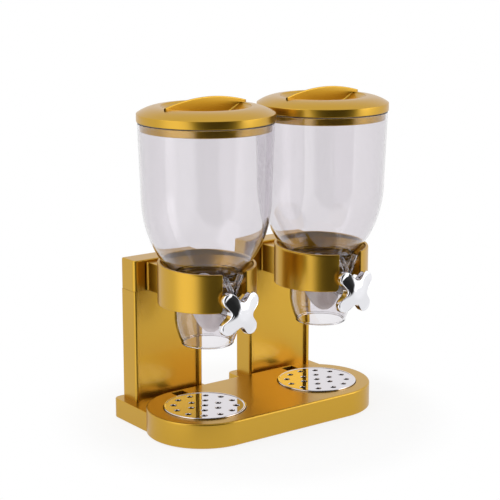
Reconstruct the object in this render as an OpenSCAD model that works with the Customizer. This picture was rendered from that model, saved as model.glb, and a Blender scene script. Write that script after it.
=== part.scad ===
// Double gravity dispenser for dry food: two clear hoppers with lids stand in open
// rings on two columns, and each front knob turns a soft paddle wheel above a spout.

/* [Layout] */
// Distance between the two hopper axes
unit_pitch = 172.4; // [168:0.2:190]
// Depth of the paddle shaft below the hopper seat
shaft_drop = 29.6; // [28:0.1:31]

/* [Base] */
// Radius of the base's round ends
base_end_r = 68.6; // [66:0.1:72]
// Distance of the end centres behind the hopper axes
base_end_y = 9.3; // [6:0.1:12]
// Height of the base above the table
base_h = 31; // [27:0.5:34]
// Wall thickness of the base moulding
base_wall = 2.6; // [2:0.1:3.2]
// Half width of the low foot behind each column front
foot_half_w = 60; // [56:0.5:64]
// Height of the top of the feet above the table
foot_h = 25; // [22:0.5:26]
// Distance of the feet's rear face behind the hopper axes
foot_back = 118.5; // [118:0.5:124]
// Corner radius of the feet
foot_corner_r = 9; // [6:0.5:12]
// Thickness of the bottom plate
bottom_plate_t = 2.4; // [2:0.1:3]
// How far the rubber pads stand proud of the bottom plate
pad_proud = 1.2; // [0.8:0.1:2]
// Radius of the rubber pads
pad_r = 7; // [5:0.5:8]

/* [Drip plates] */
// Radius of a drip plate
plate_r = 49.5; // [47:0.1:51]
// Distance of the plate centres behind the hopper axes
plate_y = 6.4; // [5:0.1:8]
// How far a plate's rim stands above the base
plate_proud = 1.8; // [1.2:0.1:3]
// Radius of a drain hole
drain_r = 3.3; // [2.5:0.1:3.8]
// Radius of the inner ring of drain holes
drain_ring_a = 18.5; // [16:0.5:22]
// Radius of the outer ring of drain holes
drain_ring_b = 37.6; // [34:0.2:40]
// Turn of the drain holes about the plate's middle
drain_turn = 24; // [0:1:29]
// Depth of the crumb well below a plate
well_depth = 17; // [10:0.5:20]
// Width of the finger notch behind a plate
notch_w = 17; // [12:0.5:20]
// How far the notch reaches beyond the plate
notch_len = 18; // [8:0.5:19]
// Distance of the notch's middle to the right of the plate's middle
notch_x = 4; // [-6:0.5:6]

/* [Columns] */
// Half width of a column
column_half_w = 49.1; // [46:0.1:52]
// Distance of a column's front behind the hopper axis
column_front = 81.2; // [79.5:0.1:84]
// Distance of a column's rear behind the hopper axis
column_back = 110.2; // [108:0.1:112]
// Height of the seam between column and collar
seam_h = 163.6; // [160.5:0.1:166]
// Width of the two front rails
rail_w = 6; // [4:0.1:9]
// How far the front panel lies behind the rails
panel_recess = 3.5; // [2:0.1:5]
// Wall thickness of the column
column_wall = 2.6; // [2:0.1:3.2]
// Corner radius of the column
column_corner_r = 4; // [2:0.1:5]

/* [Collar] */
// Outer radius of the collar ring
ring_r = 58.2; // [57.5:0.1:60]
// Wall thickness of the ring
ring_wall = 3.5; // [2.5:0.1:4]
// Height of the ring's front rim above the seam
ring_rise = 42.9; // [42:0.1:44]
// Rise of the rim from the front to the rear
rim_rise = 6.4; // [0:0.1:7]
// Height of the ring
ring_h = 44.9; // [41:0.1:46]
// Half width of the gap in the front of the ring
gap_half_w = 17; // [15.5:0.1:19]
// Radius of the lower corners of that gap
gap_corner_r = 5; // [2:0.5:8]
// Depth of the hopper seat below the front rim
seat_drop = 16.4; // [15.5:0.1:17]
// Inner radius of the hopper seat
seat_in_r = 43.4; // [43.3:0.1:44.5]
// Width of the hopper seat
seat_w = 2.8; // [2:0.1:4]
// Thickness of the cone that leads down to the seat
cone_wall = 2.5; // [2:0.1:3]
// Height of the collar's head above the seam
head_h = 38.1; // [35:0.1:40]
// Half width of the neck between ring and head
neck_half_w = 30; // [26:0.5:34]

/* [Canister] */
// Height of the canister's rim above the hopper seat
canister_rise = 184; // [174:1:190]
// Outer radius of the canister at its rim
canister_rim_r = 79; // [78.5:0.1:79.4]
// Outer radius where the straight wall meets the round bottom
canister_r = 76; // [74:0.1:77]
// Height of that line above the hopper seat
shoulder_rise = 98.1; // [94:0.1:105]
// Vertical half axis of the round bottom
bowl_axis = 105.9; // [103:0.1:109]
// Wall thickness of the clear mouldings
clear_wall = 2.2; // [1.8:0.1:2.4]
// Outer radius of the throat
throat_r = 38.6; // [37.5:0.1:39.5]
// Length of the throat below the hopper seat
throat_drop = 16; // [13:0.5:18]

/* [Chute] */
// Outer radius of the spout's mouth
spout_r = 30; // [27:0.1:33]
// Drop of the spout's mouth below the shaft
spout_drop = 48.5; // [43:0.5:51]
// Drop below the shaft at which the spout starts to taper
taper_drop = 17.3; // [13:0.1:21]
// Height of the socket round the throat
socket_h = 14; // [11:0.5:16]
// Outer radius of the front bearing boss
boss_r = 9.5; // [9:0.1:11]
// How far the boss's front face stays behind the front of the collar ring
boss_inset = 0.8; // [0.4:0.1:3]

/* [Paddle wheel] */
// Radius of the soft paddles
paddle_r = 35; // [32:0.1:35.4]
// Thickness of a paddle
paddle_t = 1.6; // [1.2:0.1:2.5]
// Number of full discs that cross on the shaft, each of them two paddles
paddle_discs = 2; // [2:1:4]
// Radius of the shaft
shaft_r = 4; // [3.5:0.1:4.5]
// Outer radius of the wheel's hub
hub_r = 7.5; // [6.5:0.1:8]

/* [Knob] */
// Radius of a lobe's round end
lobe_r = 9; // [7.5:0.1:10]
// Distance of a lobe's end from the shaft axis
lobe_reach = 22.6; // [20:0.1:24]
// Thickness of the knob at its middle
knob_t = 13; // [10.5:0.1:14]
// Thickness of a lobe's end
lobe_t = 8.5; // [7.5:0.1:10.4]
// Gap between the front of the collar ring and the knob
knob_gap = 1.6; // [1.4:0.1:4]
// Turn of the knob on its shaft
knob_turn = -5; // [-45:1:45]

/* [Lid] */
// Outer radius of the lid
lid_r = 80; // [79.5:0.1:82]
// Height of the lid's rim
rim_h = 9; // [7:0.1:10]
// Rise of the dome from the rim to the finger recess
dome_rise = 8.5; // [6:0.1:10]
// How strongly the dome bends down towards the rim
dome_bend = 2.2; // [1:0.1:3]
// Radius of the finger recess
recess_r = 52; // [48:0.1:55]
// Depth of the finger recess
recess_depth = 16; // [12:0.5:21.5]
// Wall thickness of the lid
lid_wall = 2; // [1.6:0.1:2.4]
// Thickness of the grip fin
fin_t = 2; // [1.6:0.1:3]
// Half length of the grip fin
fin_half = 63; // [56:0.5:65]
// Height of the fin's ends above the dome
fin_end_h = 2.8; // [1:0.1:5]
// Rise of the fin's arch above its ends
fin_rise = 8.5; // [3:0.5:10]
// Turn of the fin from the left-right line
fin_turn = 7; // [0:1:15]
// Thickness of the sealing ring
seal_t = 1.2; // [0.8:0.1:1.6]
// Height of the plug's skirt inside the canister
plug_h = 8.8; // [7:0.1:11]

/* [Fits] */
// Gap round parts that lift out
lift_gap = 0.5; // [0.3:0.05:0.8]
// Gap between parts that are assembled once
fit_gap = 0.15; // [0.1:0.05:0.25]
// Radial clearance of the shaft in its bearings
shaft_clear = 0.05; // [0.02:0.01:0.09]
// Clearance round a screw in its hole
screw_clear = 0.05; // [0.03:0.01:0.1]

/* [Hidden] */
$fn = 96;
e = 0.01;                                   // overlap that lets a cut break through a face
left = -1;
right = 1;

// The knob and its boss follow the collar ring
boss_reach = ring_r - boss_inset;
knob_back = ring_r + knob_gap;

// The origin lies under the middle of the overall box
knob_front = knob_back + knob_t;
front_reach = max(lid_r, knob_front, base_end_r - base_end_y);
axis_y = (front_reach - foot_back) / 2;     // y of the two hopper axes

// Base
slab_bottom = pad_proud;
plate_seat_gap = lift_gap;
plate_seat_z = base_h - 3;                  // ledge that carries a drip plate
plate_top = base_h + plate_proud;
plate_skin = 1.4;
plate_skirt = 1.5;
well_wall = 2.2;
well_r = plate_r - 2.5;
well_floor = plate_seat_z - well_depth;
notch_depth = 8;
edge_r = 2;                                 // rounding of the base's top edge
foot_edge = 1.2;
boss_base_r = 4;
foot_screw_in = 10;
foot_screw_rear = 11;
end_screw_in = 5.2;
slab_screw_front = 14;
slab_screw_rear = 12;
pad_in = 24;
pad_rear = 12;
pad_front_x = 30;
pad_front_y = 20;

// Screws
screw_r = 1.5;
screw_head_r = 2.9;
screw_head_h = 1.4;
pilot_r = screw_r + screw_clear;
cover_screw_len = 12;
base_screw_len = 11;
column_screw_len = 12.6;
screw_boss_h = 14;
column_screw_x = column_half_w - 12;
column_screw_y = column_front + 16;
cover_screw_x = column_half_w - 17;

// Columns
panel_front = column_front + panel_recess;
panel_back = panel_front + column_wall;
cover_t = 2.4;
cover_front = column_back - cover_t;
low_screw_z = foot_h + 22;
cover_sill = 3;                             // height of the column's front sill below the cover
cover_rib_t = 3;
cover_rib_depth = 6;
cover_rib_foot = 8;
spigot_h = 16;
high_screw_z = seam_h - spigot_h / 2;
spigot_gap = 2 * fit_gap;
spigot_wall = 3;
spigot_back = cover_front;

// Collar
ring_top = seam_h + ring_rise;
ring_bottom = ring_top - ring_h;
ring_in = ring_r - ring_wall;
seat_z = ring_top - seat_drop;
seat_t = 2.5;
seat_r = seat_in_r + seat_w;
head_top = seam_h + head_h;
neck_top = head_top - 3.2;
neck_fillet = 2;
neck_wall = 3;
head_edge = 1.6;

// Heights that follow the seat
canister_top = seat_z + canister_rise;
shoulder_h = seat_z + shoulder_rise;
throat_bottom = seat_z - throat_drop;
shaft_height = seat_z - shaft_drop;
spout_h = shaft_height - spout_drop;
taper_h = shaft_height - taper_drop;

// Canister
flange_t = 2.2;
flange_r = seat_r - lift_gap;
cone_foot = seat_z + flange_t + lift_gap;
function bowl_r(z) = canister_r * sqrt(1 - pow((shoulder_h - z) / bowl_axis, 2));
function bowl_in_r(z) =
    (canister_r - clear_wall) * sqrt(1 - pow((shoulder_h - z) / (bowl_axis - clear_wall), 2));
throat_top = shoulder_h - bowl_axis * sqrt(1 - pow(throat_r / canister_r, 2));
throat_in_r = throat_r - clear_wall;
throat_in_top = shoulder_h
    - (bowl_axis - clear_wall) * sqrt(1 - pow(throat_in_r / (canister_r - clear_wall), 2));
bowl_steps = 16;
lug_z = throat_bottom + 5;
lug_h = 3;
lug_w = 8;
lug_proud = 1.8;
lug_slack = 0.4;

// Chute
socket_in_r = throat_r + fit_gap;
socket_r = socket_in_r + 2.4;
socket_top = throat_bottom + socket_h;
chute_r = throat_r;
lip_h = 2;
lip_proud = 1;
taper_steps = 8;
function chute_out_r(z) =
    spout_r + (chute_r - spout_r) * (1 - pow((taper_h - z) / (taper_h - spout_h), 1.8));
rear_boss_r = shaft_r + 4;
rear_boss_end = socket_r + 1.6;
pocket_end = rear_boss_end - 1.6;
rib_t = 2;
rib_top = ring_top - 4;
rib_back = flange_r + 1.3;
rib_half_w = gap_half_w - 4.5;
rib_fork_z = shaft_height + 19;

// Shaft and wheel
bore_r = shaft_r + shaft_clear;
bush_r = shaft_r + 2.4;
bush_flange_r = boss_r - 0.9;
bush_flange_t = 1.2;
shaft_back_end = pocket_end - 0.5;
shaft_front_end = knob_back + knob_t - 4.5;
hub_half = sqrt(pow(throat_in_r, 2) - pow(hub_r, 2)) - 1;
sleeve_r = hub_r + 1.6;
sleeve_half = hub_half - 2.5;
pin_r = 1.25;

// Knob
knob_sleeve_r = shaft_r + 3.4;
knob_sleeve_end = boss_reach + bush_flange_t + 0.3;
lobe_edge = 2;

// Lid
lid_bottom = canister_top + seal_t;
rim_top = lid_bottom + rim_h;
dome_top = rim_top + dome_rise;
rim_round = 1;
rim_wall = 2;
recess_lip = 0.8;
plug_r = canister_rim_r - clear_wall - 0.6;
plug_wall = 2.4;
plug_bottom = canister_top - plug_h;
plug_flange_t = 2.4;
seal_in_r = canister_rim_r - clear_wall - 0.3;
lid_steps = 12;
function dome_z(r) = rim_top
    + dome_rise * (1 - pow(max(0, r - recess_r) / (lid_r - recess_r), dome_bend));
// The recess is a cap of a sphere; t runs from 0 at its edge to 90 at its lowest point
cap_h = recess_depth - recess_lip;
cap_r = (pow(recess_r, 2) + pow(cap_h, 2)) / (2 * cap_h);
cap_turn = asin(recess_r / cap_r);
function recess_x(t, grow) = (cap_r + grow) * sin(cap_turn * (1 - t / 90));
function recess_z(t, grow) = dome_top - recess_lip + cap_r * cos(cap_turn)
    - (cap_r + grow) * cos(cap_turn * (1 - t / 90));

// Points of an arc about [cx, cy], from angle a to angle b in n steps
function arc(cx, cy, r, a, b, n) =
    [for (i = [0 : n]) [cx + r * cos(a + (b - a) * i / n), cy + r * sin(a + (b - a) * i / n)]];

// Places a part of one unit on its hopper axis
module at_unit(side) translate([side * unit_pitch / 2, axis_y, 0]) children();
// Places a part on the shaft axis, with its z axis pointing to the front
module at_shaft() translate([0, 0, shaft_height]) rotate([90, 0, 0]) children();
module at_both() { at_unit(left) children(); at_unit(right) children(); }

// Square with four round corners, from [x0, y0] to [x1, y1]
module rounded(x0, y0, x1, y1, r) {
    translate([x0 + r, y0]) square([x1 - x0 - 2 * r, y1 - y0]);
    translate([x0, y0 + r]) square([x1 - x0, y1 - y0 - 2 * r]);
    for (x = [x0 + r, x1 - r], y = [y0 + r, y1 - r]) translate([x, y]) circle(r);
}

// Head first at z = 0, shank down the +z axis
module screw(length) {
    cylinder(r = screw_head_r, h = screw_head_h);
    translate([0, 0, screw_head_h - e]) cylinder(r = screw_r, h = length, $fn = 32);
}

module slab_outline(inset) {
    translate([0, base_end_y]) {
        for (s = [left, right]) translate([s * unit_pitch / 2, 0]) circle(base_end_r - inset);
        square([unit_pitch, 2 * (base_end_r - inset)], center = true);
    }
}

module feet_outline(inset) {
    for (s = [left, right]) translate([s * unit_pitch / 2, 0])
        rounded(-foot_half_w + inset, base_end_y, foot_half_w - inset, foot_back - inset,
            foot_corner_r - inset);
}

// Slab with its top edge rounded: one revolved end each side and an extruded middle
module slab_solid(bottom, top) {
    half = [for (p = concat([[0, bottom], [base_end_r, bottom]],
        arc(base_end_r - edge_r, top - edge_r, edge_r, 0, 90, 5), [[0, top]])) p];
    translate([0, base_end_y, 0]) {
        for (s = [left, right]) translate([s * unit_pitch / 2, 0, 0])
            rotate_extrude() polygon(half);
        rotate([90, 0, 90]) translate([0, 0, -unit_pitch / 2]) linear_extrude(unit_pitch) {
            polygon(half);
            mirror([1, 0]) polygon(half);
        }
    }
}

foot_screw_spots = [
    for (s = [left, right], m = [left, right])
        [s * (unit_pitch / 2 + m * (foot_half_w - foot_screw_in)), foot_back - foot_screw_rear]];
slab_screw_spots = [
    for (s = [left, right])
        [s * (unit_pitch / 2 + base_end_r - base_wall - end_screw_in), base_end_y],
    [0, base_end_y - base_end_r + slab_screw_front],
    [0, base_end_y + base_end_r - slab_screw_rear]];
base_screw_spots = concat(foot_screw_spots, slab_screw_spots);
pad_spots = [
    for (s = [left, right], m = [left, right])
        [s * (unit_pitch / 2 + m * (foot_half_w - pad_in)), foot_back - pad_rear],
    for (s = [left, right])
        [s * (unit_pitch / 2 + pad_front_x), base_end_y - base_end_r + pad_front_y]];

module base_shell() color("goldenrod") translate([0, axis_y, 0]) difference() {
    union() {
        difference() {
            union() {
                slab_solid(slab_bottom, base_h);
                translate([0, 0, slab_bottom])
                    linear_extrude(foot_h - foot_edge - slab_bottom) feet_outline(0);
                for (s = [left, right]) translate([s * unit_pitch / 2, 0, 0]) hull() {
                    translate([0, 0, foot_h - foot_edge - e]) linear_extrude(e)
                        rounded(-foot_half_w, base_end_y, foot_half_w, foot_back,
                            foot_corner_r, $fn = 32);
                    translate([0, 0, foot_h - e]) linear_extrude(e)
                        rounded(-foot_half_w + foot_edge, base_end_y, foot_half_w - foot_edge,
                            foot_back - foot_edge, foot_corner_r - foot_edge, $fn = 32);
                }
            }
            translate([0, 0, slab_bottom - e])
                linear_extrude(base_h - base_wall - slab_bottom + e) slab_outline(base_wall);
            translate([0, 0, slab_bottom - e])
                linear_extrude(foot_h - base_wall - slab_bottom + e) feet_outline(base_wall);
        }
        for (s = [left, right]) translate([s * unit_pitch / 2, plate_y, 0]) {
            translate([0, 0, well_floor - well_wall])
                cylinder(r = well_r + well_wall, h = base_h - 1 - well_floor + well_wall);
            translate([0, 0, plate_seat_z - well_wall])
                cylinder(r = plate_r + plate_seat_gap + well_wall,
                    h = base_h - 1 - plate_seat_z + well_wall);
            translate([notch_x - notch_w / 2 - well_wall, plate_r - 3,
                base_h - notch_depth - well_wall])
                cube([notch_w + 2 * well_wall, notch_len + 3 + well_wall,
                    notch_depth + well_wall - 1]);
        }
        for (p = foot_screw_spots) translate([p[0], p[1], slab_bottom + bottom_plate_t])
            cylinder(r = boss_base_r, h = foot_h - slab_bottom - bottom_plate_t - base_wall / 2);
        for (p = slab_screw_spots) translate([p[0], p[1], slab_bottom + bottom_plate_t])
            cylinder(r = boss_base_r, h = base_h - slab_bottom - bottom_plate_t - base_wall / 2);
    }
    for (s = [left, right]) translate([s * unit_pitch / 2, plate_y, 0]) {
        translate([0, 0, well_floor]) cylinder(r = well_r, h = base_h);
        translate([0, 0, plate_seat_z]) cylinder(r = plate_r + plate_seat_gap, h = base_h);
        translate([notch_x - notch_w / 2, plate_r - 3, base_h - notch_depth])
            cube([notch_w, notch_len + 3, base_h]);
        for (x = [left, right])
            translate([x * column_screw_x, column_screw_y - plate_y, foot_h - base_wall - 1])
                cylinder(r = pilot_r, h = base_wall + 2);
    }
    for (p = base_screw_spots) translate([p[0], p[1], slab_bottom])
        cylinder(r = pilot_r, h = base_screw_len + 3);
}

module base_bottom_plate() color("dimgray") translate([0, axis_y, slab_bottom]) difference() {
    linear_extrude(bottom_plate_t) {
        slab_outline(base_wall + fit_gap);
        feet_outline(base_wall + fit_gap);
    }
    for (p = base_screw_spots) translate([p[0], p[1], -e]) {
        cylinder(r = pilot_r, h = bottom_plate_t + 2 * e);
        cylinder(r = screw_head_r + screw_clear, h = screw_head_h + e);
    }
    for (p = pad_spots) translate([p[0], p[1], -e])
        cylinder(r = pad_r + fit_gap, h = bottom_plate_t / 3 + e);
}

module base_feet() color("black")
    for (p = pad_spots) translate([p[0], p[1] + axis_y, 0])
        cylinder(r = pad_r, h = pad_proud + bottom_plate_t / 3);

module base_screws() color("silver")
    for (p = base_screw_spots) translate([p[0], p[1] + axis_y, slab_bottom])
        screw(base_screw_len);

module column_outline(inset) {
    rounded(-column_half_w + inset, column_front + inset, column_half_w - inset,
        column_back - 6, column_corner_r - inset / 2);
    rounded(-column_half_w + inset, column_front + 6, column_half_w - inset,
        column_back - inset, 1.2 - inset / 3);
}

module column(side) color("gold") at_unit(side) difference() {
    union() {
        difference() {
            translate([0, 0, foot_h]) linear_extrude(seam_h - foot_h) column_outline(0);
            translate([-column_half_w + column_wall, panel_back, foot_h + cover_sill])
                cube([2 * (column_half_w - column_wall), column_back, seam_h]);
            translate([-column_half_w + rail_w, column_front - 1, foot_h - 1])
                cube([2 * (column_half_w - rail_w), panel_recess + 1, seam_h]);
        }
        for (x = [left, right]) translate([x * column_screw_x, column_screw_y, foot_h])
            cylinder(r = boss_base_r, h = screw_boss_h);
        for (x = [left, right]) translate([x * cover_screw_x, panel_back - e, low_screw_z])
            rotate([-90, 0, 0]) cylinder(r = boss_base_r, h = spigot_back - panel_back + e);
    }
    for (x = [left, right]) translate([x * column_screw_x, column_screw_y, foot_h - 1])
        cylinder(r = pilot_r, h = column_screw_len + 0.4);
    for (x = [left, right])
        translate([x * cover_screw_x, cover_front - cover_screw_len, low_screw_z])
            rotate([-90, 0, 0]) cylinder(r = pilot_r, h = cover_screw_len + 1);
}

module column_left() column(left);
module column_right() column(right);

// Flat cover with a stiffening rib inside, screwed against the bosses
module column_back(side) color("goldenrod") at_unit(side) difference() {
    union() {
        translate([-column_half_w + column_wall + fit_gap, cover_front,
            foot_h + cover_sill + fit_gap])
            cube([2 * (column_half_w - column_wall - fit_gap), cover_t,
                seam_h - foot_h - cover_sill - 2 * fit_gap]);
        translate([-cover_rib_t / 2, cover_front - cover_rib_depth, foot_h + cover_rib_foot])
            cube([cover_rib_t, cover_rib_depth + e,
                seam_h - spigot_h - foot_h - 2 * cover_rib_foot + 2]);
    }
    for (x = [left, right], z = [low_screw_z, high_screw_z])
        translate([x * cover_screw_x, cover_front - 1, z]) rotate([-90, 0, 0]) {
            cylinder(r = pilot_r, h = 3 * cover_t);
            translate([0, 0, 1 + cover_t - screw_head_h])
                cylinder(r = screw_head_r + screw_clear, h = 3 * cover_t);
        }
}

module column_back_left() column_back(left);
module column_back_right() column_back(right);

module column_screws() color("silver") at_both()
    for (x = [left, right])
        translate([x * column_screw_x, column_screw_y, foot_h - base_wall - screw_head_h])
            screw(column_screw_len);

// Screws that run forward through the cover, with their heads sunk in its rear
module cover_screws(z) color("silver") at_both()
    for (x = [left, right]) translate([x * cover_screw_x, column_back, z])
        rotate([90, 0, 0]) screw(cover_screw_len);

module back_cover_screws() cover_screws(low_screw_z);
module collar_screws() cover_screws(high_screw_z);

// Straight neck that widens in a small fillet where it meets the head
module neck_outline() difference() {
    translate([-neck_half_w - neck_fillet, 0])
        square([2 * (neck_half_w + neck_fillet), column_front + 1]);
    for (m = [0, 1]) mirror([m, 0]) {
        translate([neck_half_w + neck_fillet, column_front - neck_fillet])
            circle(neck_fillet);
        translate([neck_half_w, -1])
            square([neck_fillet + 1, column_front - neck_fillet + 1]);
    }
}

module collar(side) color("gold") at_unit(side) difference() {
    union() {
        difference() {
            union() {
                translate([0, 0, ring_bottom]) cylinder(r = ring_r, h = ring_h + rim_rise);
                translate([0, 0, seam_h]) linear_extrude(neck_top - seam_h) neck_outline();
            }
            translate([0, 0, seam_h - 1]) linear_extrude(neck_top - neck_wall - seam_h + 1)
                difference() {
                    translate([-neck_half_w + neck_wall, ring_r - 8])
                        square([2 * (neck_half_w - neck_wall), column_front - ring_r + 8]);
                    circle(ring_r);
                }
            translate([0, 0, ring_bottom - 1]) cylinder(r = ring_in, h = ring_h + rim_rise + 2);
        }
        // cone inside the ring, with the seat that carries the hopper's flange
        rotate_extrude() polygon([[seat_in_r, seat_z - seat_t], [seat_r, seat_z - seat_t],
            [ring_in, ring_top - 0.4 - cone_wall * 2.4], [ring_in + 1, ring_top - 0.4 - cone_wall],
            [ring_in + 1, ring_top - 0.4], [ring_in, ring_top - 0.4], [seat_r, cone_foot],
            [seat_r, seat_z], [seat_in_r, seat_z]]);
        // hollow head over the column
        difference() {
            union() {
                translate([0, 0, seam_h]) linear_extrude(head_h - head_edge)
                    column_outline(0);
                hull() {
                    translate([0, 0, head_top - head_edge - e]) linear_extrude(e)
                        column_outline(0, $fn = 32);
                    translate([0, 0, head_top - e]) linear_extrude(e)
                        column_outline(head_edge, $fn = 32);
                }
            }
            translate([-column_half_w + column_wall, column_front + column_wall, seam_h - 1])
                cube([2 * (column_half_w - column_wall),
                    column_back - column_front - 2 * column_wall, head_h + 1 - column_wall]);
        }
        // spigot that stands in the column, tied to the head by its upper rim
        difference() {
            translate([-column_half_w + column_wall + spigot_gap, panel_back + spigot_gap,
                seam_h - spigot_h])
                cube([2 * (column_half_w - column_wall - spigot_gap),
                    spigot_back - panel_back - 2 * spigot_gap, spigot_h + 4]);
            translate([-column_half_w + column_wall + spigot_gap + spigot_wall,
                panel_back + spigot_gap + spigot_wall, seam_h - spigot_h - 1])
                cube([2 * (column_half_w - column_wall - spigot_gap - spigot_wall),
                    spigot_back - panel_back - 2 * (spigot_gap + spigot_wall),
                    spigot_h + 6]);
        }
        translate([0, 0, seam_h]) linear_extrude(4) difference() {
            column_outline(column_wall / 2);
            translate([-column_half_w + column_wall + spigot_gap + spigot_wall,
                panel_back + spigot_gap + spigot_wall])
                square([2 * (column_half_w - column_wall - spigot_gap - spigot_wall),
                    spigot_back - panel_back - 2 * (spigot_gap + spigot_wall)]);
        }
        for (x = [left, right]) translate([x * cover_screw_x, spigot_back - spigot_gap,
            high_screw_z]) rotate([90, 0, 0]) cylinder(r = boss_base_r, h = 12);
    }
    // gap in the front, with round lower corners
    rotate([90, 0, 0]) linear_extrude(2 * ring_r) {
        translate([-gap_half_w, ring_bottom - 1])
            square([2 * gap_half_w, ring_h + rim_rise + 2]);
        for (m = [0, 1]) mirror([m, 0]) difference() {
            translate([gap_half_w - e, ring_bottom - 1]) square(gap_corner_r + 1);
            translate([gap_half_w + gap_corner_r, ring_bottom + gap_corner_r])
                circle(gap_corner_r);
            translate([gap_half_w + gap_corner_r, 0]) square(2 * ring_top);
            translate([gap_half_w - 1, ring_bottom + gap_corner_r]) square(2 * ring_top);
        }
    }
    // rim that rises from the front to the rear
    translate([0, -ring_r, ring_top]) rotate([atan(rim_rise / (2 * ring_r)), 0, 0])
        translate([-ring_r - 1, -ring_r, 0])
            cube([2 * ring_r + 2, 2 * ring_r + ring_r + 1, 2 * rim_rise + 5]);
    for (x = [left, right])
        translate([x * cover_screw_x, cover_front - cover_screw_len, high_screw_z])
            rotate([-90, 0, 0]) cylinder(r = pilot_r, h = cover_screw_len + 1);
}

module collar_left() collar(left);
module collar_right() collar(right);

// Inverted dish: the pierced skin, its rolled rim and the skirt on the ledge
module drip_plate(side) color("silver") at_unit(side) translate([0, plate_y, 0])
    difference() {
        rotate_extrude() polygon(concat(
            [[0, plate_top - plate_skin - 0.6], [plate_r - plate_skirt, plate_top - plate_skin - 0.6],
            [plate_r - plate_skirt, plate_seat_z], [plate_r, plate_seat_z]],
            arc(plate_r - 1.2, plate_top - 1.2, 1.2, 0, 90, 4),
            [[plate_r - 3, plate_top - 0.6], [0, plate_top - 0.6]]));
        translate([0, 0, plate_seat_z]) {
            cylinder(r = drain_r, h = 20);
            for (a = [30 : 60 : 330]) rotate(a + drain_turn) translate([drain_ring_a, 0])
                cylinder(r = drain_r, h = 20, $fn = 32);
            for (a = [0 : 30 : 330]) rotate(a + drain_turn) translate([drain_ring_b, 0])
                cylinder(r = drain_r, h = 20, $fn = 32);
        }
    }

module drip_plate_left() drip_plate(left);
module drip_plate_right() drip_plate(right);

function bowl_points(z0, inner) = [for (i = [0 : bowl_steps])
    let (z = z0 + (shoulder_h - z0) * (1 - cos(90 * i / bowl_steps)) * 0.5
        + (shoulder_h - z0) * 0.5 * i / bowl_steps)
    [inner ? bowl_in_r(z) : bowl_r(z), z]];

module canister(side) color([0.9, 0.92, 0.95, 0.35]) at_unit(side) difference() {
    union() {
        rotate_extrude() polygon(concat([[0, throat_bottom], [throat_r, throat_bottom]],
            bowl_points(throat_top, false),
            [[canister_rim_r, canister_top], [0, canister_top]]));
        translate([0, 0, seat_z]) cylinder(r = flange_r, h = flange_t);
        for (s = [left, right]) translate([s * (throat_r + lug_proud - 2) - 2, -lug_w / 2, lug_z])
            cube([4, lug_w, lug_h]);
    }
    rotate_extrude() polygon(concat(
        [[0, throat_bottom - 1], [throat_in_r, throat_bottom - 1]],
        bowl_points(throat_in_top, true),
        [[canister_rim_r - clear_wall, canister_top],
        [canister_rim_r - clear_wall, canister_top + 1], [0, canister_top + 1]]));
}

module canister_left() canister(left);
module canister_right() canister(right);

function taper_points(wall) = [for (i = [0 : taper_steps])
    let (z = spout_h + lip_h + (taper_h - spout_h - lip_h) * i / taper_steps)
    [chute_out_r(z) - wall, z]];

module chute(side) color([0.9, 0.92, 0.95, 0.35]) at_unit(side) difference() {
    union() {
        rotate_extrude() polygon(concat(
            [[0, spout_h], [spout_r + lip_proud, spout_h], [spout_r + lip_proud, spout_h + lip_h]],
            taper_points(0),
            [[chute_r, throat_bottom - 6], [socket_r, throat_bottom - 3],
            [socket_r, socket_top], [0, socket_top]]));
        at_shaft() translate([0, 0, throat_in_r]) cylinder(r = boss_r, h = boss_reach - throat_in_r);
        translate([0, rear_boss_end, shaft_height]) rotate([90, 0, 0])
            cylinder(r = rear_boss_r, h = rear_boss_end - throat_in_r);
        // forked rib above the front boss
        translate([-rib_t / 2, -boss_reach + 2, shaft_height])
            cube([rib_t, boss_reach - throat_r - 2, rib_fork_z - shaft_height + 1]);
        for (m = [0, 1]) mirror([m, 0, 0])
            translate([0, -rib_back, 0]) rotate([90, 0, 0])
                linear_extrude(boss_reach - 2 - rib_back) polygon([
                    [-rib_t / 2, rib_fork_z - 2], [rib_t / 2, rib_fork_z - 2],
                    [rib_half_w, rib_top], [rib_half_w - 1.5 * rib_t, rib_top],
                    [-rib_t / 2, rib_fork_z + 1.5]]);
    }
    rotate_extrude() polygon(concat(
        [[0, spout_h - 1], [spout_r - clear_wall, spout_h - 1],
        [spout_r - clear_wall, spout_h + lip_h - 0.5]],
        [for (p = taper_points(clear_wall)) if (p[1] > spout_h + lip_h) p],
        [[throat_in_r, throat_bottom], [socket_in_r, throat_bottom],
        [socket_in_r, socket_top + 1], [0, socket_top + 1]]));
    at_shaft() cylinder(r = bush_r + shaft_clear, h = boss_reach + 1);
    translate([0, pocket_end, shaft_height]) rotate([90, 0, 0])
        cylinder(r = bore_r, h = pocket_end);
    for (s = [left, right]) rotate(s == left ? 180 : 0)
        translate([throat_r - 2, -lug_w / 2 - lug_slack, 0]) {
            translate([0, 0, lug_z - lug_slack])
                cube([8, 2 * lug_w + 2 * lug_slack, lug_h + 2 * lug_slack]);
            translate([0, lug_w, lug_z - lug_slack]) cube([8, lug_w + 2 * lug_slack, 30]);
        }
}

module chute_left() chute(left);
module chute_right() chute(right);

module shaft_bush(side) color("white") at_unit(side) at_shaft() difference() {
    union() {
        translate([0, 0, throat_in_r + 0.6]) cylinder(r = bush_r, h = boss_reach - throat_in_r - 0.6);
        translate([0, 0, boss_reach]) cylinder(r = bush_flange_r, h = bush_flange_t);
    }
    cylinder(r = bore_r, h = boss_reach + 2 * bush_flange_t);
}

module shaft_bush_left() shaft_bush(left);
module shaft_bush_right() shaft_bush(right);

// Round bar with a cross hole for the pin
module shaft(side) color("silver") at_unit(side) at_shaft() difference() {
    translate([0, 0, -shaft_back_end]) cylinder(r = shaft_r, h = shaft_back_end + shaft_front_end);
    rotate([90, 0, 0]) cylinder(r = pin_r + screw_clear, h = 4 * shaft_r, center = true, $fn = 32);
}

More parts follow.
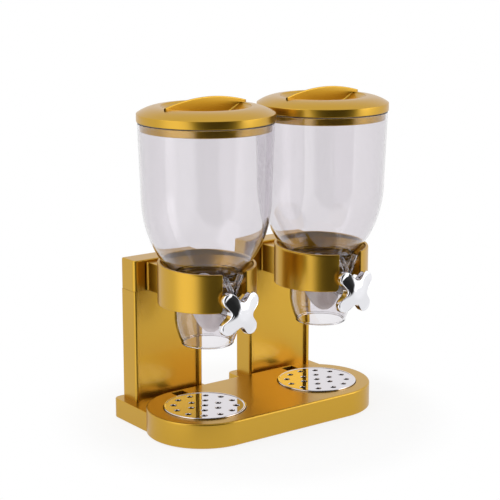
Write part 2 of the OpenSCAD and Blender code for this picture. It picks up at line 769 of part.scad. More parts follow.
module shaft_left() shaft(left);
module shaft_right() shaft(right);

module wheel_hub(side) color("white") at_unit(side) at_shaft() difference() {
    cylinder(r = hub_r, h = 2 * hub_half, center = true);
    cylinder(r = bore_r, h = 3 * hub_half, center = true);
    rotate([90, 0, 0]) cylinder(r = pin_r + screw_clear, h = 4 * hub_r, center = true, $fn = 32);
}

module wheel_hub_left() wheel_hub(left);
module wheel_hub_right() wheel_hub(right);

module drive_pin(side) color("silver") at_unit(side) at_shaft() rotate([90, 0, 0])
    cylinder(r = pin_r, h = 2 * hub_r - 0.4, center = true, $fn = 32);

module drive_pin_left() drive_pin(left);
module drive_pin_right() drive_pin(right);

// Soft sleeve on the hub with round paddles in planes through the shaft
module paddles(side) color([0.93, 0.93, 0.9, 0.8]) at_unit(side) at_shaft() difference() {
    union() {
        cylinder(r = sleeve_r, h = 2 * sleeve_half, center = true);
        for (i = [0 : paddle_discs - 1]) rotate([0, 90, 180 * i / paddle_discs])
            cylinder(r = paddle_r, h = paddle_t, center = true);
    }
    cylinder(r = hub_r + shaft_clear, h = 3 * hub_half, center = true);
}

module paddles_left() paddles(left);
module paddles_right() paddles(right);

// Disc with rounded rims, which the hulls join to make a lobe
module knob_disc(t) rotate_extrude($fn = 32) polygon([[0, 0], [lobe_r - 0.8, 0], [lobe_r, 0.8],
    [lobe_r, t - lobe_edge], [lobe_r - 0.3 * lobe_edge, t - 0.3 * lobe_edge],
    [lobe_r - lobe_edge, t], [0, t]]);

module knob(side) color("gainsboro") at_unit(side) at_shaft() difference() {
    union() {
        for (a = [45 : 90 : 315]) rotate(a + knob_turn) hull() {
            translate([2, 0, knob_back]) knob_disc(knob_t);
            translate([lobe_reach, 0, knob_back]) knob_disc(lobe_t);
        }
        translate([0, 0, knob_back]) cylinder(r = 1.65 * lobe_r, h = lobe_t - 1);
        translate([0, 0, knob_sleeve_end])
            cylinder(r = knob_sleeve_r, h = knob_back - knob_sleeve_end + 1);
    }
    cylinder(r = bore_r, h = shaft_front_end + 0.3);
}

module knob_left() knob(left);
module knob_right() knob(right);

// Rim, dome and finger recess in one revolved wall, crossed by the arched grip fin
module lid(side) color("gold") at_unit(side) union() {
    rotate_extrude() polygon(concat(
        [[lid_r - 0.5, lid_bottom], [lid_r, lid_bottom + 0.5]],
        arc(lid_r - rim_round, rim_top - rim_round, rim_round, 0, 60, 4),
        [for (i = [1 : lid_steps]) let (r = lid_r - rim_round
            + (recess_r + 1 - lid_r + rim_round) * i / lid_steps) [r, dome_z(r)]],
        [for (i = [0 : lid_steps]) let (t = 90 * i / lid_steps)
            [i == lid_steps ? 0 : recess_x(t, 0), recess_z(t, 0)]],
        [for (i = [lid_steps : -1 : 2]) let (t = 90 * i / lid_steps)
            [i == lid_steps ? 0 : recess_x(t, lid_wall), recess_z(t, lid_wall)]],
        [for (i = [lid_steps : -1 : 1]) let (r = lid_r - rim_wall
            + (recess_r + lid_wall + 1 - lid_r + rim_wall) * i / lid_steps)
            [r, dome_z(r) - lid_wall]],
        [[lid_r - rim_wall, rim_top - lid_wall], [lid_r - rim_wall, lid_bottom]]));
    rotate([90, 0, fin_turn]) translate([0, 0, -fin_t / 2]) linear_extrude(fin_t)
        polygon(concat(
            [[-fin_half, dome_z(fin_half) - 1]],
            [for (i = [-lid_steps : lid_steps]) let (t = 90 - 88 * abs(i) / lid_steps)
                [(i < 0 ? -1 : 1) * (i == 0 ? 0 : recess_x(t, 0.8)), recess_z(t, 0.8)]],
            [[fin_half, dome_z(fin_half) - 1]],
            [for (i = [-lid_steps : lid_steps]) let (x = -fin_half * i / lid_steps)
                [x, dome_z(fin_half) + fin_end_h + fin_rise * (1 - pow(x / fin_half, 2))]]));
}

module lid_left() lid(left);
module lid_right() lid(right);

// Skirt inside the canister, with a flange over the sealing ring
module lid_plug(side) color("goldenrod") at_unit(side) rotate_extrude() polygon([
    [plug_r - plug_wall, plug_bottom], [plug_r, plug_bottom], [plug_r, lid_bottom],
    [lid_r - rim_wall - fit_gap, lid_bottom],
    [lid_r - rim_wall - fit_gap, lid_bottom + plug_flange_t],
    [plug_r, lid_bottom + plug_flange_t], [plug_r, dome_z(plug_r) - lid_wall - fit_gap],
    [plug_r - plug_wall, dome_z(plug_r) - lid_wall - fit_gap]]);

module lid_plug_left() lid_plug(left);
module lid_plug_right() lid_plug(right);

module lid_seal(side) color("dimgray") at_unit(side) translate([0, 0, canister_top])
    difference() {
        cylinder(r = canister_rim_r, h = seal_t);
        translate([0, 0, -1]) cylinder(r = seal_in_r, h = seal_t + 2);
    }

module lid_seal_left() lid_seal(left);
module lid_seal_right() lid_seal(right);

base_shell();
base_bottom_plate();
base_feet();
base_screws();
column_left();
column_right();
column_back_left();
column_back_right();
column_screws();
back_cover_screws();
collar_left();
collar_right();
collar_screws();
drip_plate_left();
drip_plate_right();
canister_left();
canister_right();
chute_left();
chute_right();
shaft_bush_left();
shaft_bush_right();
lid_left();
lid_right();
lid_plug_left();
lid_plug_right();
lid_seal_left();
lid_seal_right();
knob_left();
knob_right();
shaft_left();
shaft_right();
wheel_hub_left();
wheel_hub_right();
drive_pin_left();
drive_pin_right();
paddles_left();
paddles_right();
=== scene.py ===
# Looks of a double dry food dispenser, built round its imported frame. Lengths are in mm, in the part's frame.
import math

import bmesh
import bpy
import numpy as np
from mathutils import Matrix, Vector
from mathutils.geometry import delaunay_2d_cdt


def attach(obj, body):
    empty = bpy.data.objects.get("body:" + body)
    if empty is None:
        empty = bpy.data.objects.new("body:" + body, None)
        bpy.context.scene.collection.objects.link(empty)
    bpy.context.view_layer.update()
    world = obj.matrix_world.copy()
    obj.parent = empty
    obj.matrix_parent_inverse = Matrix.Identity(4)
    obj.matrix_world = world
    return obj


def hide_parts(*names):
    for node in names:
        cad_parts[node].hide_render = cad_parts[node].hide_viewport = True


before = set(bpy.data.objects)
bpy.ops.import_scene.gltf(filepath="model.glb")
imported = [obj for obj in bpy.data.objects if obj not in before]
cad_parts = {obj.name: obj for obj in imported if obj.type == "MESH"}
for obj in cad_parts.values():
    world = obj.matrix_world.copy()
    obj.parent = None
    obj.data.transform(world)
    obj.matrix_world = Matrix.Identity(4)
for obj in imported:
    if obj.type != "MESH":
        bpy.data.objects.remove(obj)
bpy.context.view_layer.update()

mm = 0.001
axisX = 86.2            # distance of each hopper axis from the middle plane
axisY = -19.25          # y of both hopper axes
sides = {"Left": -axisX, "Right": axisX}
quarter = math.pi / 2

# how meshes are cleaned (weld and thin are in metres) and how corners are rounded (arcStep is in degrees)
meshing = {"weld": 2e-6, "thin": 1e-7, "tiny": 1e-9, "normalWeight": 60, "arcStep": 15, "nearlyFlat": 0.02,
           "sideShare": 0.49, "guard": 0.3}


# Turns arrays of points and faces into a finished piece that rides on a body and stands for CAD nodes.
def addObject(name, part, material, body, stands, smoothAngle=40, weighted=False):
    points, faces = part
    mesh = bpy.data.meshes.new(name)
    mesh.from_pydata((points * mm).tolist(), [], faces)
    obj = bpy.data.objects.new(name, mesh)
    bpy.context.scene.collection.objects.link(obj)
    weldMesh(mesh)
    mesh.shade_smooth()
    mesh.set_sharp_from_angle(angle=math.radians(smoothAngle))
    if weighted:
        modifier = obj.modifiers.new("evenNormals", "WEIGHTED_NORMAL")
        modifier.keep_sharp = True
        modifier.weight = meshing["normalWeight"]
    mesh.materials.append(material)
    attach(obj, body)
    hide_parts(*stands)


# Merges doubled points, so that seams and poles close, and turns all faces outwards.
def weldMesh(mesh):
    work = bmesh.new()
    work.from_mesh(mesh)
    bmesh.ops.remove_doubles(work, verts=work.verts, dist=meshing["weld"])
    bmesh.ops.dissolve_degenerate(work, edges=work.edges, dist=meshing["thin"])
    bmesh.ops.recalc_face_normals(work, faces=work.faces)
    work.to_mesh(mesh)
    work.free()
    mesh.update()


# Faces of a grid of rows x columns points, each face joining four neighbours.
def gridFaces(rows, columns, closeRows=False, closeColumns=False):
    r = np.arange(rows if closeRows else rows - 1)
    c = np.arange(columns if closeColumns else columns - 1)
    r, c = np.meshgrid(r, c, indexing="ij")
    r2, c2 = (r + 1) % rows, (c + 1) % columns
    quads = np.stack([r * columns + c, r * columns + c2, r2 * columns + c2, r2 * columns + c], -1)
    return quads.reshape(-1, 4).tolist()


# Joins pairs of points and faces into one pair.
def joinParts(parts):
    points, faces, start = [], [], 0
    for p, f in parts:
        points.append(np.asarray(p, float).reshape(-1, 3))
        faces += [[i + start for i in face] for face in f]
        start += len(points[-1])
    return np.concatenate(points), faces


# Moves a part sideways and to the back.
def shift(part, x, y):
    points, faces = part
    return np.asarray(points, float).reshape(-1, 3) + np.array([x, y, 0.0]), faces


# Turns a pair of coordinates about the origin.
def spin(x, y, angle):
    return x * math.cos(angle) - y * math.sin(angle), x * math.sin(angle) + y * math.cos(angle)


# Path through corners (x, y, radius): each corner becomes an arc that touches both of its sides. A short
# step past each end of an arc, the guard, keeps the flat sides flat when normals are smoothed.
def roundCorners(corners, closed=True):
    m = meshing
    path, count = [], len(corners)
    for i, (x, y, radius) in enumerate(corners):
        p = np.array([x, y], float)
        if (not closed and i in (0, count - 1)) or radius <= 0:
            path.append(p)
            continue
        a = np.array(corners[i - 1][:2], float) - p
        b = np.array(corners[(i + 1) % count][:2], float) - p
        lengthA, lengthB = np.linalg.norm(a), np.linalg.norm(b)
        a, b = a / lengthA, b / lengthB
        half = math.acos(np.clip(a @ b, -1, 1)) / 2
        if half > quarter - m["nearlyFlat"]:
            path.append(p)
            continue
        reach = min(radius / math.tan(half), m["sideShare"] * lengthA, m["sideShare"] * lengthB)
        centre = p + (a + b) / np.linalg.norm(a + b) * (reach * math.tan(half) / math.sin(half))
        start, end = p + a * reach - centre, p + b * reach - centre
        turn = math.pi - 2 * half
        steps = max(3, int(math.ceil(turn / math.radians(m["arcStep"]))))
        t = np.linspace(0, 1, steps + 1)[:, None]
        arc = (start * np.sin((1 - t) * turn) + end * np.sin(t * turn)) / math.sin(turn)
        guard = m["guard"] * min(1, reach)
        path.append(p + a * (reach + guard))
        path += list(centre + arc)
        path.append(p + b * (reach + guard))
    return np.array(path)


# Surface of revolution: a profile (r, z) turned about the z axis, where r = 0 gives a pole.
def revolve(profile, steps, closed=True):
    profile = np.asarray(profile, float)
    angle = np.linspace(0, 2 * math.pi, steps, endpoint=False)
    r, z = profile[:, 0][:, None], profile[:, 1][:, None]
    points = np.stack([r * np.cos(angle), r * np.sin(angle), z + 0 * angle], -1)
    return points.reshape(-1, 3), gridFaces(len(profile), steps, closeRows=closed, closeColumns=True)


# Unit normals of a closed path, each the mean of its two sides' normals, pointing outwards.
def pathNormals(path):
    ahead = np.roll(path, -1, axis=0) - path
    ahead /= np.maximum(np.linalg.norm(ahead, axis=1), meshing["tiny"])[:, None]
    sideNormal = np.stack([ahead[:, 1], -ahead[:, 0]], -1)
    mean = sideNormal + np.roll(sideNormal, 1, axis=0)
    mean /= np.maximum(np.linalg.norm(mean, axis=1), meshing["tiny"])[:, None]
    area = np.sum(path[:, 0] * np.roll(path[:, 1], -1) - path[:, 1] * np.roll(path[:, 0], -1))
    return mean if area > 0 else -mean


# Closed path carried up z through rows of (z, inset), each row pulled in along the path's normals.
def prism(path, rows):
    normals = pathNormals(path)
    layers = [np.column_stack([path - normals * inset, np.full(len(path), z)]) for z, inset in rows]
    count = len(path)
    faces = gridFaces(len(rows), count, closeColumns=True)
    faces.append(list(range(count - 1, -1, -1)))
    faces.append(list(range((len(rows) - 1) * count, len(rows) * count)))
    return np.concatenate(layers), faces


# Rows for prism: straight sides from bottom to top, whose edges turn in along quarter circles.
def edgeRows(bottom, top, radius, steps=4, bottomRadius=0.0):
    turn = np.linspace(0, quarter, steps + 1)
    if bottomRadius:
        rows = [(bottom + bottomRadius * (1 - math.sin(t)), bottomRadius * (1 - math.cos(t)))
                for t in turn[::-1]]
    else:
        rows = [(bottom, 0)]
    return rows + [(top - radius * (1 - math.sin(t)), radius * (1 - math.cos(t))) for t in turn]


# Rectangle with its two front corners and its two back corners rounded.
def boxPath(x0, y0, x1, y1, front, back):
    return roundCorners([(x0, y0, front), (x1, y0, front), (x1, y1, back), (x0, y1, back)])


# Shader node group with named inputs (label, kind, start value) and outputs (label, kind).
def newGroup(name, inputs, outputs):
    group = bpy.data.node_groups.new(name, "ShaderNodeTree")
    for label, kind, value in inputs:
        group.interface.new_socket(name=label, in_out="INPUT", socket_type=kind).default_value = value
    for label, kind in outputs:
        group.interface.new_socket(name=label, in_out="OUTPUT", socket_type=kind)
    return group, group.nodes.new("NodeGroupInput"), group.nodes.new("NodeGroupOutput")


# Sets the plain values of a node's inputs by their labels.
def setInputs(node, values):
    for label, value in values.items():
        node.inputs[label].default_value = value


# Places a node group in a material with values of its own.
def addGroup(tree, group, values):
    node = tree.nodes.new("ShaderNodeGroup")
    node.node_tree = group
    setInputs(node, values)
    return node


# One step of arithmetic between two numbers or sockets.
def mathNode(tree, operation, a, b, clamp=False):
    node = tree.nodes.new("ShaderNodeMath")
    node.operation = operation
    node.use_clamp = clamp
    for index, value in enumerate([a, b]):
        if isinstance(value, (int, float)):
            node.inputs[index].default_value = value
        else:
            tree.links.new(value, node.inputs[index])
    return node.outputs[0]


# Noise on Object coordinates, whose scale comes from a socket.
def objectNoise(tree, scale, detail):
    coords = tree.nodes.new("ShaderNodeTexCoord")
    noise = tree.nodes.new("ShaderNodeTexNoise")
    noise.inputs["Detail"].default_value = detail
    tree.links.new(coords.outputs["Object"], noise.inputs["Vector"])
    tree.links.new(scale, noise.inputs["Scale"])
    return noise.outputs["Fac"]


# Blend of two colours by a factor from another node.
def mixColors(tree, factor, a):
    mixed = tree.nodes.new("ShaderNodeMix")
    mixed.data_type = "RGBA"
    tree.links.new(factor, mixed.inputs["Factor"])
    tree.links.new(a, mixed.inputs["A"])
    return mixed


# detail of the two drifting noises and of the relief, and how much finer the second noise is
noises = {"broadDetail": 3, "fineDetail": 4, "finer": 14, "grainDetail": 2}


# Uneven plating: the colour drifts with a broad noise towards the dark one, the roughness with a fine noise.
def buildDriftGroup():
    group, entry, leave = newGroup("platingDrift", [
        ("Color", "NodeSocketColor", (1, 1, 1, 1)), ("Dark Color", "NodeSocketColor", (0, 0, 0, 1)),
        ("Roughness", "NodeSocketFloat", 0.2), ("Roughness Spread", "NodeSocketFloat", 0.05),
        ("Scale", "NodeSocketFloat", 20.0), ("Color Spread", "NodeSocketFloat", 0.1)],
        [("Color", "NodeSocketColor"), ("Roughness", "NodeSocketFloat")])
    links = group.links
    broad = objectNoise(group, entry.outputs["Scale"], noises["broadDetail"])
    fineScale = mathNode(group, "MULTIPLY", entry.outputs["Scale"], noises["finer"])
    fine = objectNoise(group, fineScale, noises["fineDetail"])
    share = mathNode(group, "MULTIPLY", broad, entry.outputs["Color Spread"])
    mixed = mixColors(group, share, entry.outputs["Color"])
    links.new(entry.outputs["Dark Color"], mixed.inputs["B"])
    links.new(mixed.outputs["Result"], leave.inputs["Color"])
    drift = mathNode(group, "SUBTRACT", fine, 0.5)
    drift = mathNode(group, "MULTIPLY", drift, entry.outputs["Roughness Spread"])
    links.new(mathNode(group, "ADD", entry.outputs["Roughness"], drift, clamp=True),
              leave.inputs["Roughness"])
    return group


# Fine surface relief: a normal bent by noise of a given scale.
def buildGrainGroup():
    group, entry, leave = newGroup("surfaceGrain", [
        ("Scale", "NodeSocketFloat", 900.0), ("Strength", "NodeSocketFloat", 0.05),
        ("Distance", "NodeSocketFloat", 0.0001)], [("Normal", "NodeSocketVector")])
    bump = group.nodes.new("ShaderNodeBump")
    height = objectNoise(group, entry.outputs["Scale"], noises["grainDetail"])
    group.links.new(height, bump.inputs["Height"])
    group.links.new(entry.outputs["Strength"], bump.inputs["Strength"])
    group.links.new(entry.outputs["Distance"], bump.inputs["Distance"])
    group.links.new(bump.outputs["Normal"], leave.inputs["Normal"])
    return group


platingDrift = buildDriftGroup()
surfaceGrain = buildGrainGroup()

# what a look has where it names nothing else
plainLook = {"metallic": 0.0, "ior": 1.45, "transmission": 0.0, "coat": 0.0, "coatRoughness": 0.05,
             "edgeTint": (1, 1, 1), "roughnessSpread": 0.05, "driftScale": 18, "colorSpread": 0.25,
             "grain": 0.05, "grainScale": 900, "grainDepth": 0.0001}


# Principled material whose colour and roughness drift over the surface, with a fine relief where it has one.
def newMaterial(name, look):
    look = {**plainLook, **look}
    color, darkColor = (*look["color"], 1), (*look["darkColor"], 1)
    material = bpy.data.materials.new(name)
    material.use_nodes = True
    tree = material.node_tree
    shader = tree.nodes["Principled BSDF"]
    setInputs(shader, {
        "Metallic": look["metallic"], "IOR": look["ior"], "Transmission Weight": look["transmission"],
        "Coat Weight": look["coat"], "Coat Roughness": look["coatRoughness"],
        "Specular Tint": (*look["edgeTint"], 1), "Base Color": color, "Roughness": look["roughness"]})
    drift = addGroup(tree, platingDrift, {
        "Color": color, "Dark Color": darkColor, "Color Spread": look["colorSpread"],
        "Roughness": look["roughness"], "Roughness Spread": look["roughnessSpread"],
        "Scale": look["driftScale"]})
    tree.links.new(drift.outputs["Color"], shader.inputs["Base Color"])
    if look["roughnessSpread"] > 0:
        tree.links.new(drift.outputs["Roughness"], shader.inputs["Roughness"])
    if look["grain"] > 0:
        relief = addGroup(tree, surfaceGrain, {
            "Scale": look["grainScale"], "Strength": look["grain"], "Distance": look["grainDepth"]})
        tree.links.new(relief.outputs["Normal"], shader.inputs["Normal"])
    return material


# Painted shade at the plastic's sides: met at a slant, the plastic's colour goes over to a deeper grey there.
# This stands in for the darker surroundings it shows at its sides, and for the longer way the light crosses in
# it.
def paintEdgeShade(material, look):
    tree = material.node_tree
    shader = tree.nodes["Principled BSDF"]
    facing = tree.nodes.new("ShaderNodeLayerWeight")
    facing.inputs["Blend"].default_value = look["edgeShadeBlend"]
    straight = shader.inputs["Base Color"].links[0].from_socket
    mixed = mixColors(tree, facing.outputs["Facing"], straight)
    mixed.inputs["B"].default_value = (*look["edgeShadeColor"], 1)
    tree.links.new(mixed.outputs["Result"], shader.inputs["Base Color"])


# Clear plastic shades only a little: shadow rays meet a tinted transparent surface instead.
def letShadowsThrough(material, look):
    tree = material.node_tree
    clear = tree.nodes.new("ShaderNodeBsdfTransparent")
    clear.inputs["Color"].default_value = (*look["shadowTint"], 1)
    path = tree.nodes.new("ShaderNodeLightPath")
    mix = tree.nodes.new("ShaderNodeMixShader")
    tree.links.new(path.outputs["Is Shadow Ray"], mix.inputs[0])
    tree.links.new(tree.nodes["Principled BSDF"].outputs["BSDF"], mix.inputs[1])
    tree.links.new(clear.outputs["BSDF"], mix.inputs[2])
    tree.links.new(mix.outputs["Shader"], tree.nodes["Material Output"].inputs["Surface"])


goldLook = {"color": (0.57, 0.335, 0.035), "darkColor": (0.50, 0.28, 0.025), "metallic": 1.0,
            "roughness": 0.3, "roughnessSpread": 0.03, "driftScale": 14, "colorSpread": 0.4, "grain": 0.0,
            "edgeTint": (0.86, 0.82, 0.80), "coat": 0.25, "coatRoughness": 0.08}
chromeLook = {"color": (0.78, 0.78, 0.81), "darkColor": (0.74, 0.74, 0.77), "metallic": 1.0,
              "roughness": 0.035, "roughnessSpread": 0.02, "grain": 0.0}
mirrorLook = {"color": (0.70, 0.67, 0.70), "darkColor": (0.64, 0.61, 0.64), "metallic": 1.0,
              "roughness": 0.05, "roughnessSpread": 0.04, "driftScale": 60, "grain": 0.004,
              "grainScale": 300}
# the edge colour and blend of clear plastic paint shade on its sides, where it is met at a slant
clearLook = {"color": (0.88, 0.86, 0.88), "darkColor": (0.85, 0.83, 0.855), "transmission": 1.0,
             "ior": 1.47, "roughness": 0.0, "roughnessSpread": 0.0, "driftScale": 10, "colorSpread": 1.0,
             "grain": 0.0, "edgeShadeColor": (0.60, 0.58, 0.60), "edgeShadeBlend": 0.25,
             "shadowTint": (0.93, 0.92, 0.94)}
siliconeLook = {"color": (0.96, 0.91, 0.91), "darkColor": (0.92, 0.87, 0.87), "roughness": 0.45,
                "ior": 1.41, "grain": 0.1, "grainScale": 700}
acetalLook = {"color": (0.84, 0.84, 0.82), "darkColor": (0.78, 0.78, 0.76), "roughness": 0.4}
steelLook = {"color": (0.62, 0.62, 0.63), "darkColor": (0.5, 0.5, 0.52), "metallic": 1.0,
             "roughness": 0.25, "driftScale": 120}
rubberLook = {"color": (0.025, 0.025, 0.027), "darkColor": (0.04, 0.04, 0.04), "roughness": 0.7,
              "grain": 0.2, "grainScale": 2000}
sealLook = {"color": (0.05, 0.048, 0.05), "darkColor": (0.08, 0.08, 0.08), "roughness": 0.5, "grain": 0.1}
undersideLook = {"color": (0.03, 0.03, 0.032), "darkColor": (0.045, 0.045, 0.05), "roughness": 0.55,
                 "grain": 0.3, "grainScale": 1800}

goldPlating = newMaterial("goldPlating", goldLook)
knobChrome = newMaterial("knobChrome", chromeLook)
plateMirror = newMaterial("plateMirror", mirrorLook)
clearPlastic = newMaterial("clearPlastic", clearLook)
# paints shade on the plastic's sides, where it is met at a slant
paintEdgeShade(clearPlastic, clearLook)
letShadowsThrough(clearPlastic, clearLook)
softSilicone = newMaterial("softSilicone", siliconeLook)
whiteAcetal = newMaterial("whiteAcetal", acetalLook)
zincSteel = newMaterial("zincSteel", steelLook)
padRubber = newMaterial("padRubber", rubberLook)
sealRubber = newMaterial("sealRubber", sealLook)
darkUnderside = newMaterial("darkUnderside", undersideLook)
print("materials made")


base = {
    "top": 31.0, "bottom": 1.2, "endRadius": 68.6, "endY": 9.3, "edge": 2.0, "underEdge": 0.5, "wall": 2.6,
    "wellY": 6.4, "bore": 50.0, "ledge": 28.0, "wellRadius": 47.0, "wellFloor": 11.0, "wellCorner": 3.0,
    "mouthEdge": 0.35, "mouthBevel": 0.12, "rimBand": 0.9, "rimShare": 0.4, "outerBand": 0.4,
    "outerShare": 0.1, "topRows": (0, 0.35, 0.7), "rays": 289, "notchStep": 2e-4,
    "notchHalf": 8.5, "notchX": 4.0, "notchEnd": 67.0, "notchFloor": 23.0,
    "footHalf": 60.0, "footBack": 118.5, "footTop": 25.0, "footCorner": 9.0, "footEdge": 1.2,
    "footUnder": 0.4, "footFront": [(-60, 36), (-52, 36), (-44, 60), (-22, 72), (-16, 75.2)]}


# Half of the slab: rays from the well's centre. Rows run from the well's floor up its wall, over the flat
# top to the slab's outline, round its edge and down the side. Rays to the middle plane stop there.
def slabHalf(cx):
    b = base
    sign = math.copysign(1, cx)
    centreX, top, bore = abs(cx), b["top"], b["bore"]
    inner = b["endRadius"] - b["edge"]
    offY = b["wellY"] - b["endY"]
    notchRight, notchLeft = b["notchX"] * sign + b["notchHalf"], b["notchX"] * sign - b["notchHalf"]
    notchStart, notchStop = math.acos(notchRight / bore), math.acos(notchLeft / bore)
    special = [notchStart, notchStop, notchStart + b["notchStep"], notchStop - b["notchStep"],
               math.atan2(b["notchEnd"], notchRight), math.atan2(b["notchEnd"], notchLeft)]
    for y in (-inner - offY, inner - offY):
        special += [math.atan2(y, -centreX), math.atan2(y, 0)]
    angle = np.unique(np.concatenate([np.linspace(-math.pi, math.pi, b["rays"]), special]))[:-1]
    ux, uy = np.cos(angle), np.sin(angle)
    # distance to the round end, to the two straight sides and to the middle plane
    along = offY * uy
    toCircle = -along + np.sqrt(along ** 2 - (offY ** 2 - inner ** 2))
    with np.errstate(divide="ignore"):
        toSide = np.where(uy > 0, (inner - offY) / uy, (-inner - offY) / uy)
        toMiddle = np.where(ux < 0, -centreX / ux, np.inf)
    outer = np.where(ux >= 0, toCircle, np.minimum(toSide, toMiddle))
    middle = (ux < 0) & (toMiddle < toSide - 1e-6)
    onX, onY = outer * ux, outer * uy
    normal = np.where((ux >= 0)[:, None], np.stack([onX, onY + offY], -1) / inner,
                      np.stack([0 * uy, np.sign(uy)], -1))
    # the mouth is the well's edge, or the notch's outline where a ray passes through it
    inNotch = (angle > notchStart + b["notchStep"] / 2) & (angle < notchStop - b["notchStep"] / 2)
    wallX = np.where(ux > 0, notchRight, -notchLeft)
    tiny = meshing["tiny"]
    notchRay = np.minimum(wallX / np.maximum(np.abs(ux), tiny), b["notchEnd"] / np.maximum(uy, tiny))
    mouth = np.where(inNotch, np.maximum(notchRay, bore), bore)
    deep = np.where(inNotch, b["notchFloor"], b["ledge"])
    well, corner, floor = b["wellRadius"], b["wellCorner"], b["wellFloor"]
    rows = [(0, floor), (well - corner, floor)]
    for t in np.linspace(0, quarter, 4)[1:]:
        rows.append((well - corner + corner * math.sin(t), floor + corner * (1 - math.cos(t))))
    rows += [(well, deep), (mouth, deep), (mouth, top - b["mouthEdge"]),
             (mouth + b["mouthBevel"], top - b["mouthBevel"]), (mouth + b["mouthEdge"], top)]
    first = mouth + np.minimum(b["rimBand"], b["rimShare"] * (outer - mouth))
    rows += [(first + (outer - first) * share, top) for share in b["topRows"]]
    band = np.minimum(b["outerBand"], b["outerShare"] * (outer - mouth))
    rows.append((outer - np.where(middle, 0, band), top))
    rings = [np.stack([r * ux, r * uy, z + 0 * ux], -1) for r, z in rows]
    edge, under = b["edge"], b["edge"] - b["wall"]
    side = [(edge * math.sin(t), top - edge * (1 - math.cos(t))) for t in np.linspace(0, quarter, 6)]
    side += [(edge, b["bottom"] + b["underEdge"]), (edge - b["underEdge"], b["bottom"]),
             (under, b["bottom"]), (under, top - b["wall"])]
    lift = np.where(middle, 0, 1)[:, None]
    for out, z in side:
        onSide = np.stack([onX, onY], -1) + normal * out * lift
        rings.append(np.column_stack([onSide, np.where(middle, top, z)]))
    grid = np.array(rings)
    grid[..., 0] = (grid[..., 0] + centreX) * sign
    grid[..., 1] += b["wellY"] + axisY
    points = grid.reshape(-1, 3)
    inPlane = np.abs(points[:, 0]) < 1e-6
    faces = gridFaces(grid.shape[0], grid.shape[1], closeColumns=True)
    return points, [f for f in faces if not inPlane[f].all()]


# Low rear foot. Its front stays inside the slab and runs round the well and the notch.
def footBlock(cx):
    b = base
    front = [(x, y, 0) for x, y in b["footFront"]]
    corners = front + [(-x, y, 0) for x, y, _ in front[::-1]]
    corners += [(b["footHalf"], b["footBack"], b["footCorner"]),
                (-b["footHalf"], b["footBack"], b["footCorner"])]
    rows = edgeRows(b["bottom"], b["footTop"], b["footEdge"], bottomRadius=b["footUnder"])
    return shift(prism(roundCorners(corners), rows), cx, axisY)


for pieceName, makeHalf in (("baseSlab", slabHalf), ("baseFootBlocks", footBlock)):
    halves = joinParts([makeHalf(x) for x in sides.values()])
    addObject(pieceName, halves, goldPlating, "stand", ["base_shell"], weighted=True)
print("base made")


column = {"half": 49.1, "front": 81.2, "back": 110.2, "bottom": 25.0, "top": 163.6, "rail": 6.0,
          "recess": 3.5, "wall": 2.6, "corner": 4.0, "railEdge": 0.9, "panelEdge": 0.7, "rearEdge": 1.0,
          "innerEdge": 0.5, "mouthEdge": 0.3, "seam": 0.45, "sill": 28.0, "sillOverlap": 0.3,
          "sillEdge": 0.3, "sillCorner": 0.2}
collar = {"ring": 58.2, "wall": 3.5, "bottom": 161.6, "top": 206.5, "rise": 6.4, "riseFrom": 1.3,
          "riseOver": 1.2, "riseIn": 0.5, "gap": 17.0, "gapCorner": 5.0, "gapEdge": 0.8, "gapFrom": 1.2,
          "gapAbove": 1.0, "gapRows": 7, "endRows": 5, "steps": 97, "seat": 190.1, "seatIn": 43.4,
          "seatWidth": 2.8, "seatThick": 2.5, "seatEdge": 0.4, "seatCorner": 0.2, "coneFoot": 192.8,
          "coneUnder": 6.4, "coneStart": 1.2, "coneEdge": 0.3, "underEdge": 0.5, "rim": 1.1, "rimIn": 0.7,
          "footOut": 0.8, "footIn": 0.6, "headTop": 201.7, "headEdge": 1.8, "headCorner": 5.0,
          "headRear": 2.0, "neckHalf": 30.0, "neckTop": 198.5, "neckEdge": 1.2, "neckUnder": 0.5,
          "neckRadius": 56.0, "neckSteps": 9, "neckFlare": 4.0, "neckSunk": 1.5, "fillet": 2.0}


# Hollow C section with a sunk front panel between two rails, open at the rear for its cover, and a sill.
def buildColumn(side, cx):
    c = column
    h, r, w = c["half"], c["rail"], c["wall"]
    f, p, b = c["front"], c["front"] + c["recess"], c["back"]
    corners = [(-h, f, c["corner"]), (-h + r, f, c["railEdge"]), (-h + r, p, c["panelEdge"]),
               (h - r, p, c["panelEdge"]), (h - r, f, c["railEdge"]), (h, f, c["corner"]),
               (h, b, c["rearEdge"]), (h - w, b, c["mouthEdge"]), (h - w, p + w, c["innerEdge"]),
               (-h + w, p + w, c["innerEdge"]), (-h + w, b, c["mouthEdge"]), (-h, b, c["rearEdge"])]
    walls = prism(roundCorners(corners), edgeRows(c["bottom"], c["top"], c["seam"], 2))
    across = h - w + c["sillOverlap"]
    sillPath = boxPath(-across, p + w - c["sillOverlap"], across, b, c["sillCorner"], c["sillCorner"])
    sill = prism(sillPath, edgeRows(c["bottom"], c["sill"], c["sillEdge"], 2))
    addObject("column" + side, shift(joinParts([walls, sill]), cx, axisY), goldPlating, "stand",
              ["column_" + side.lower()], weighted=True)


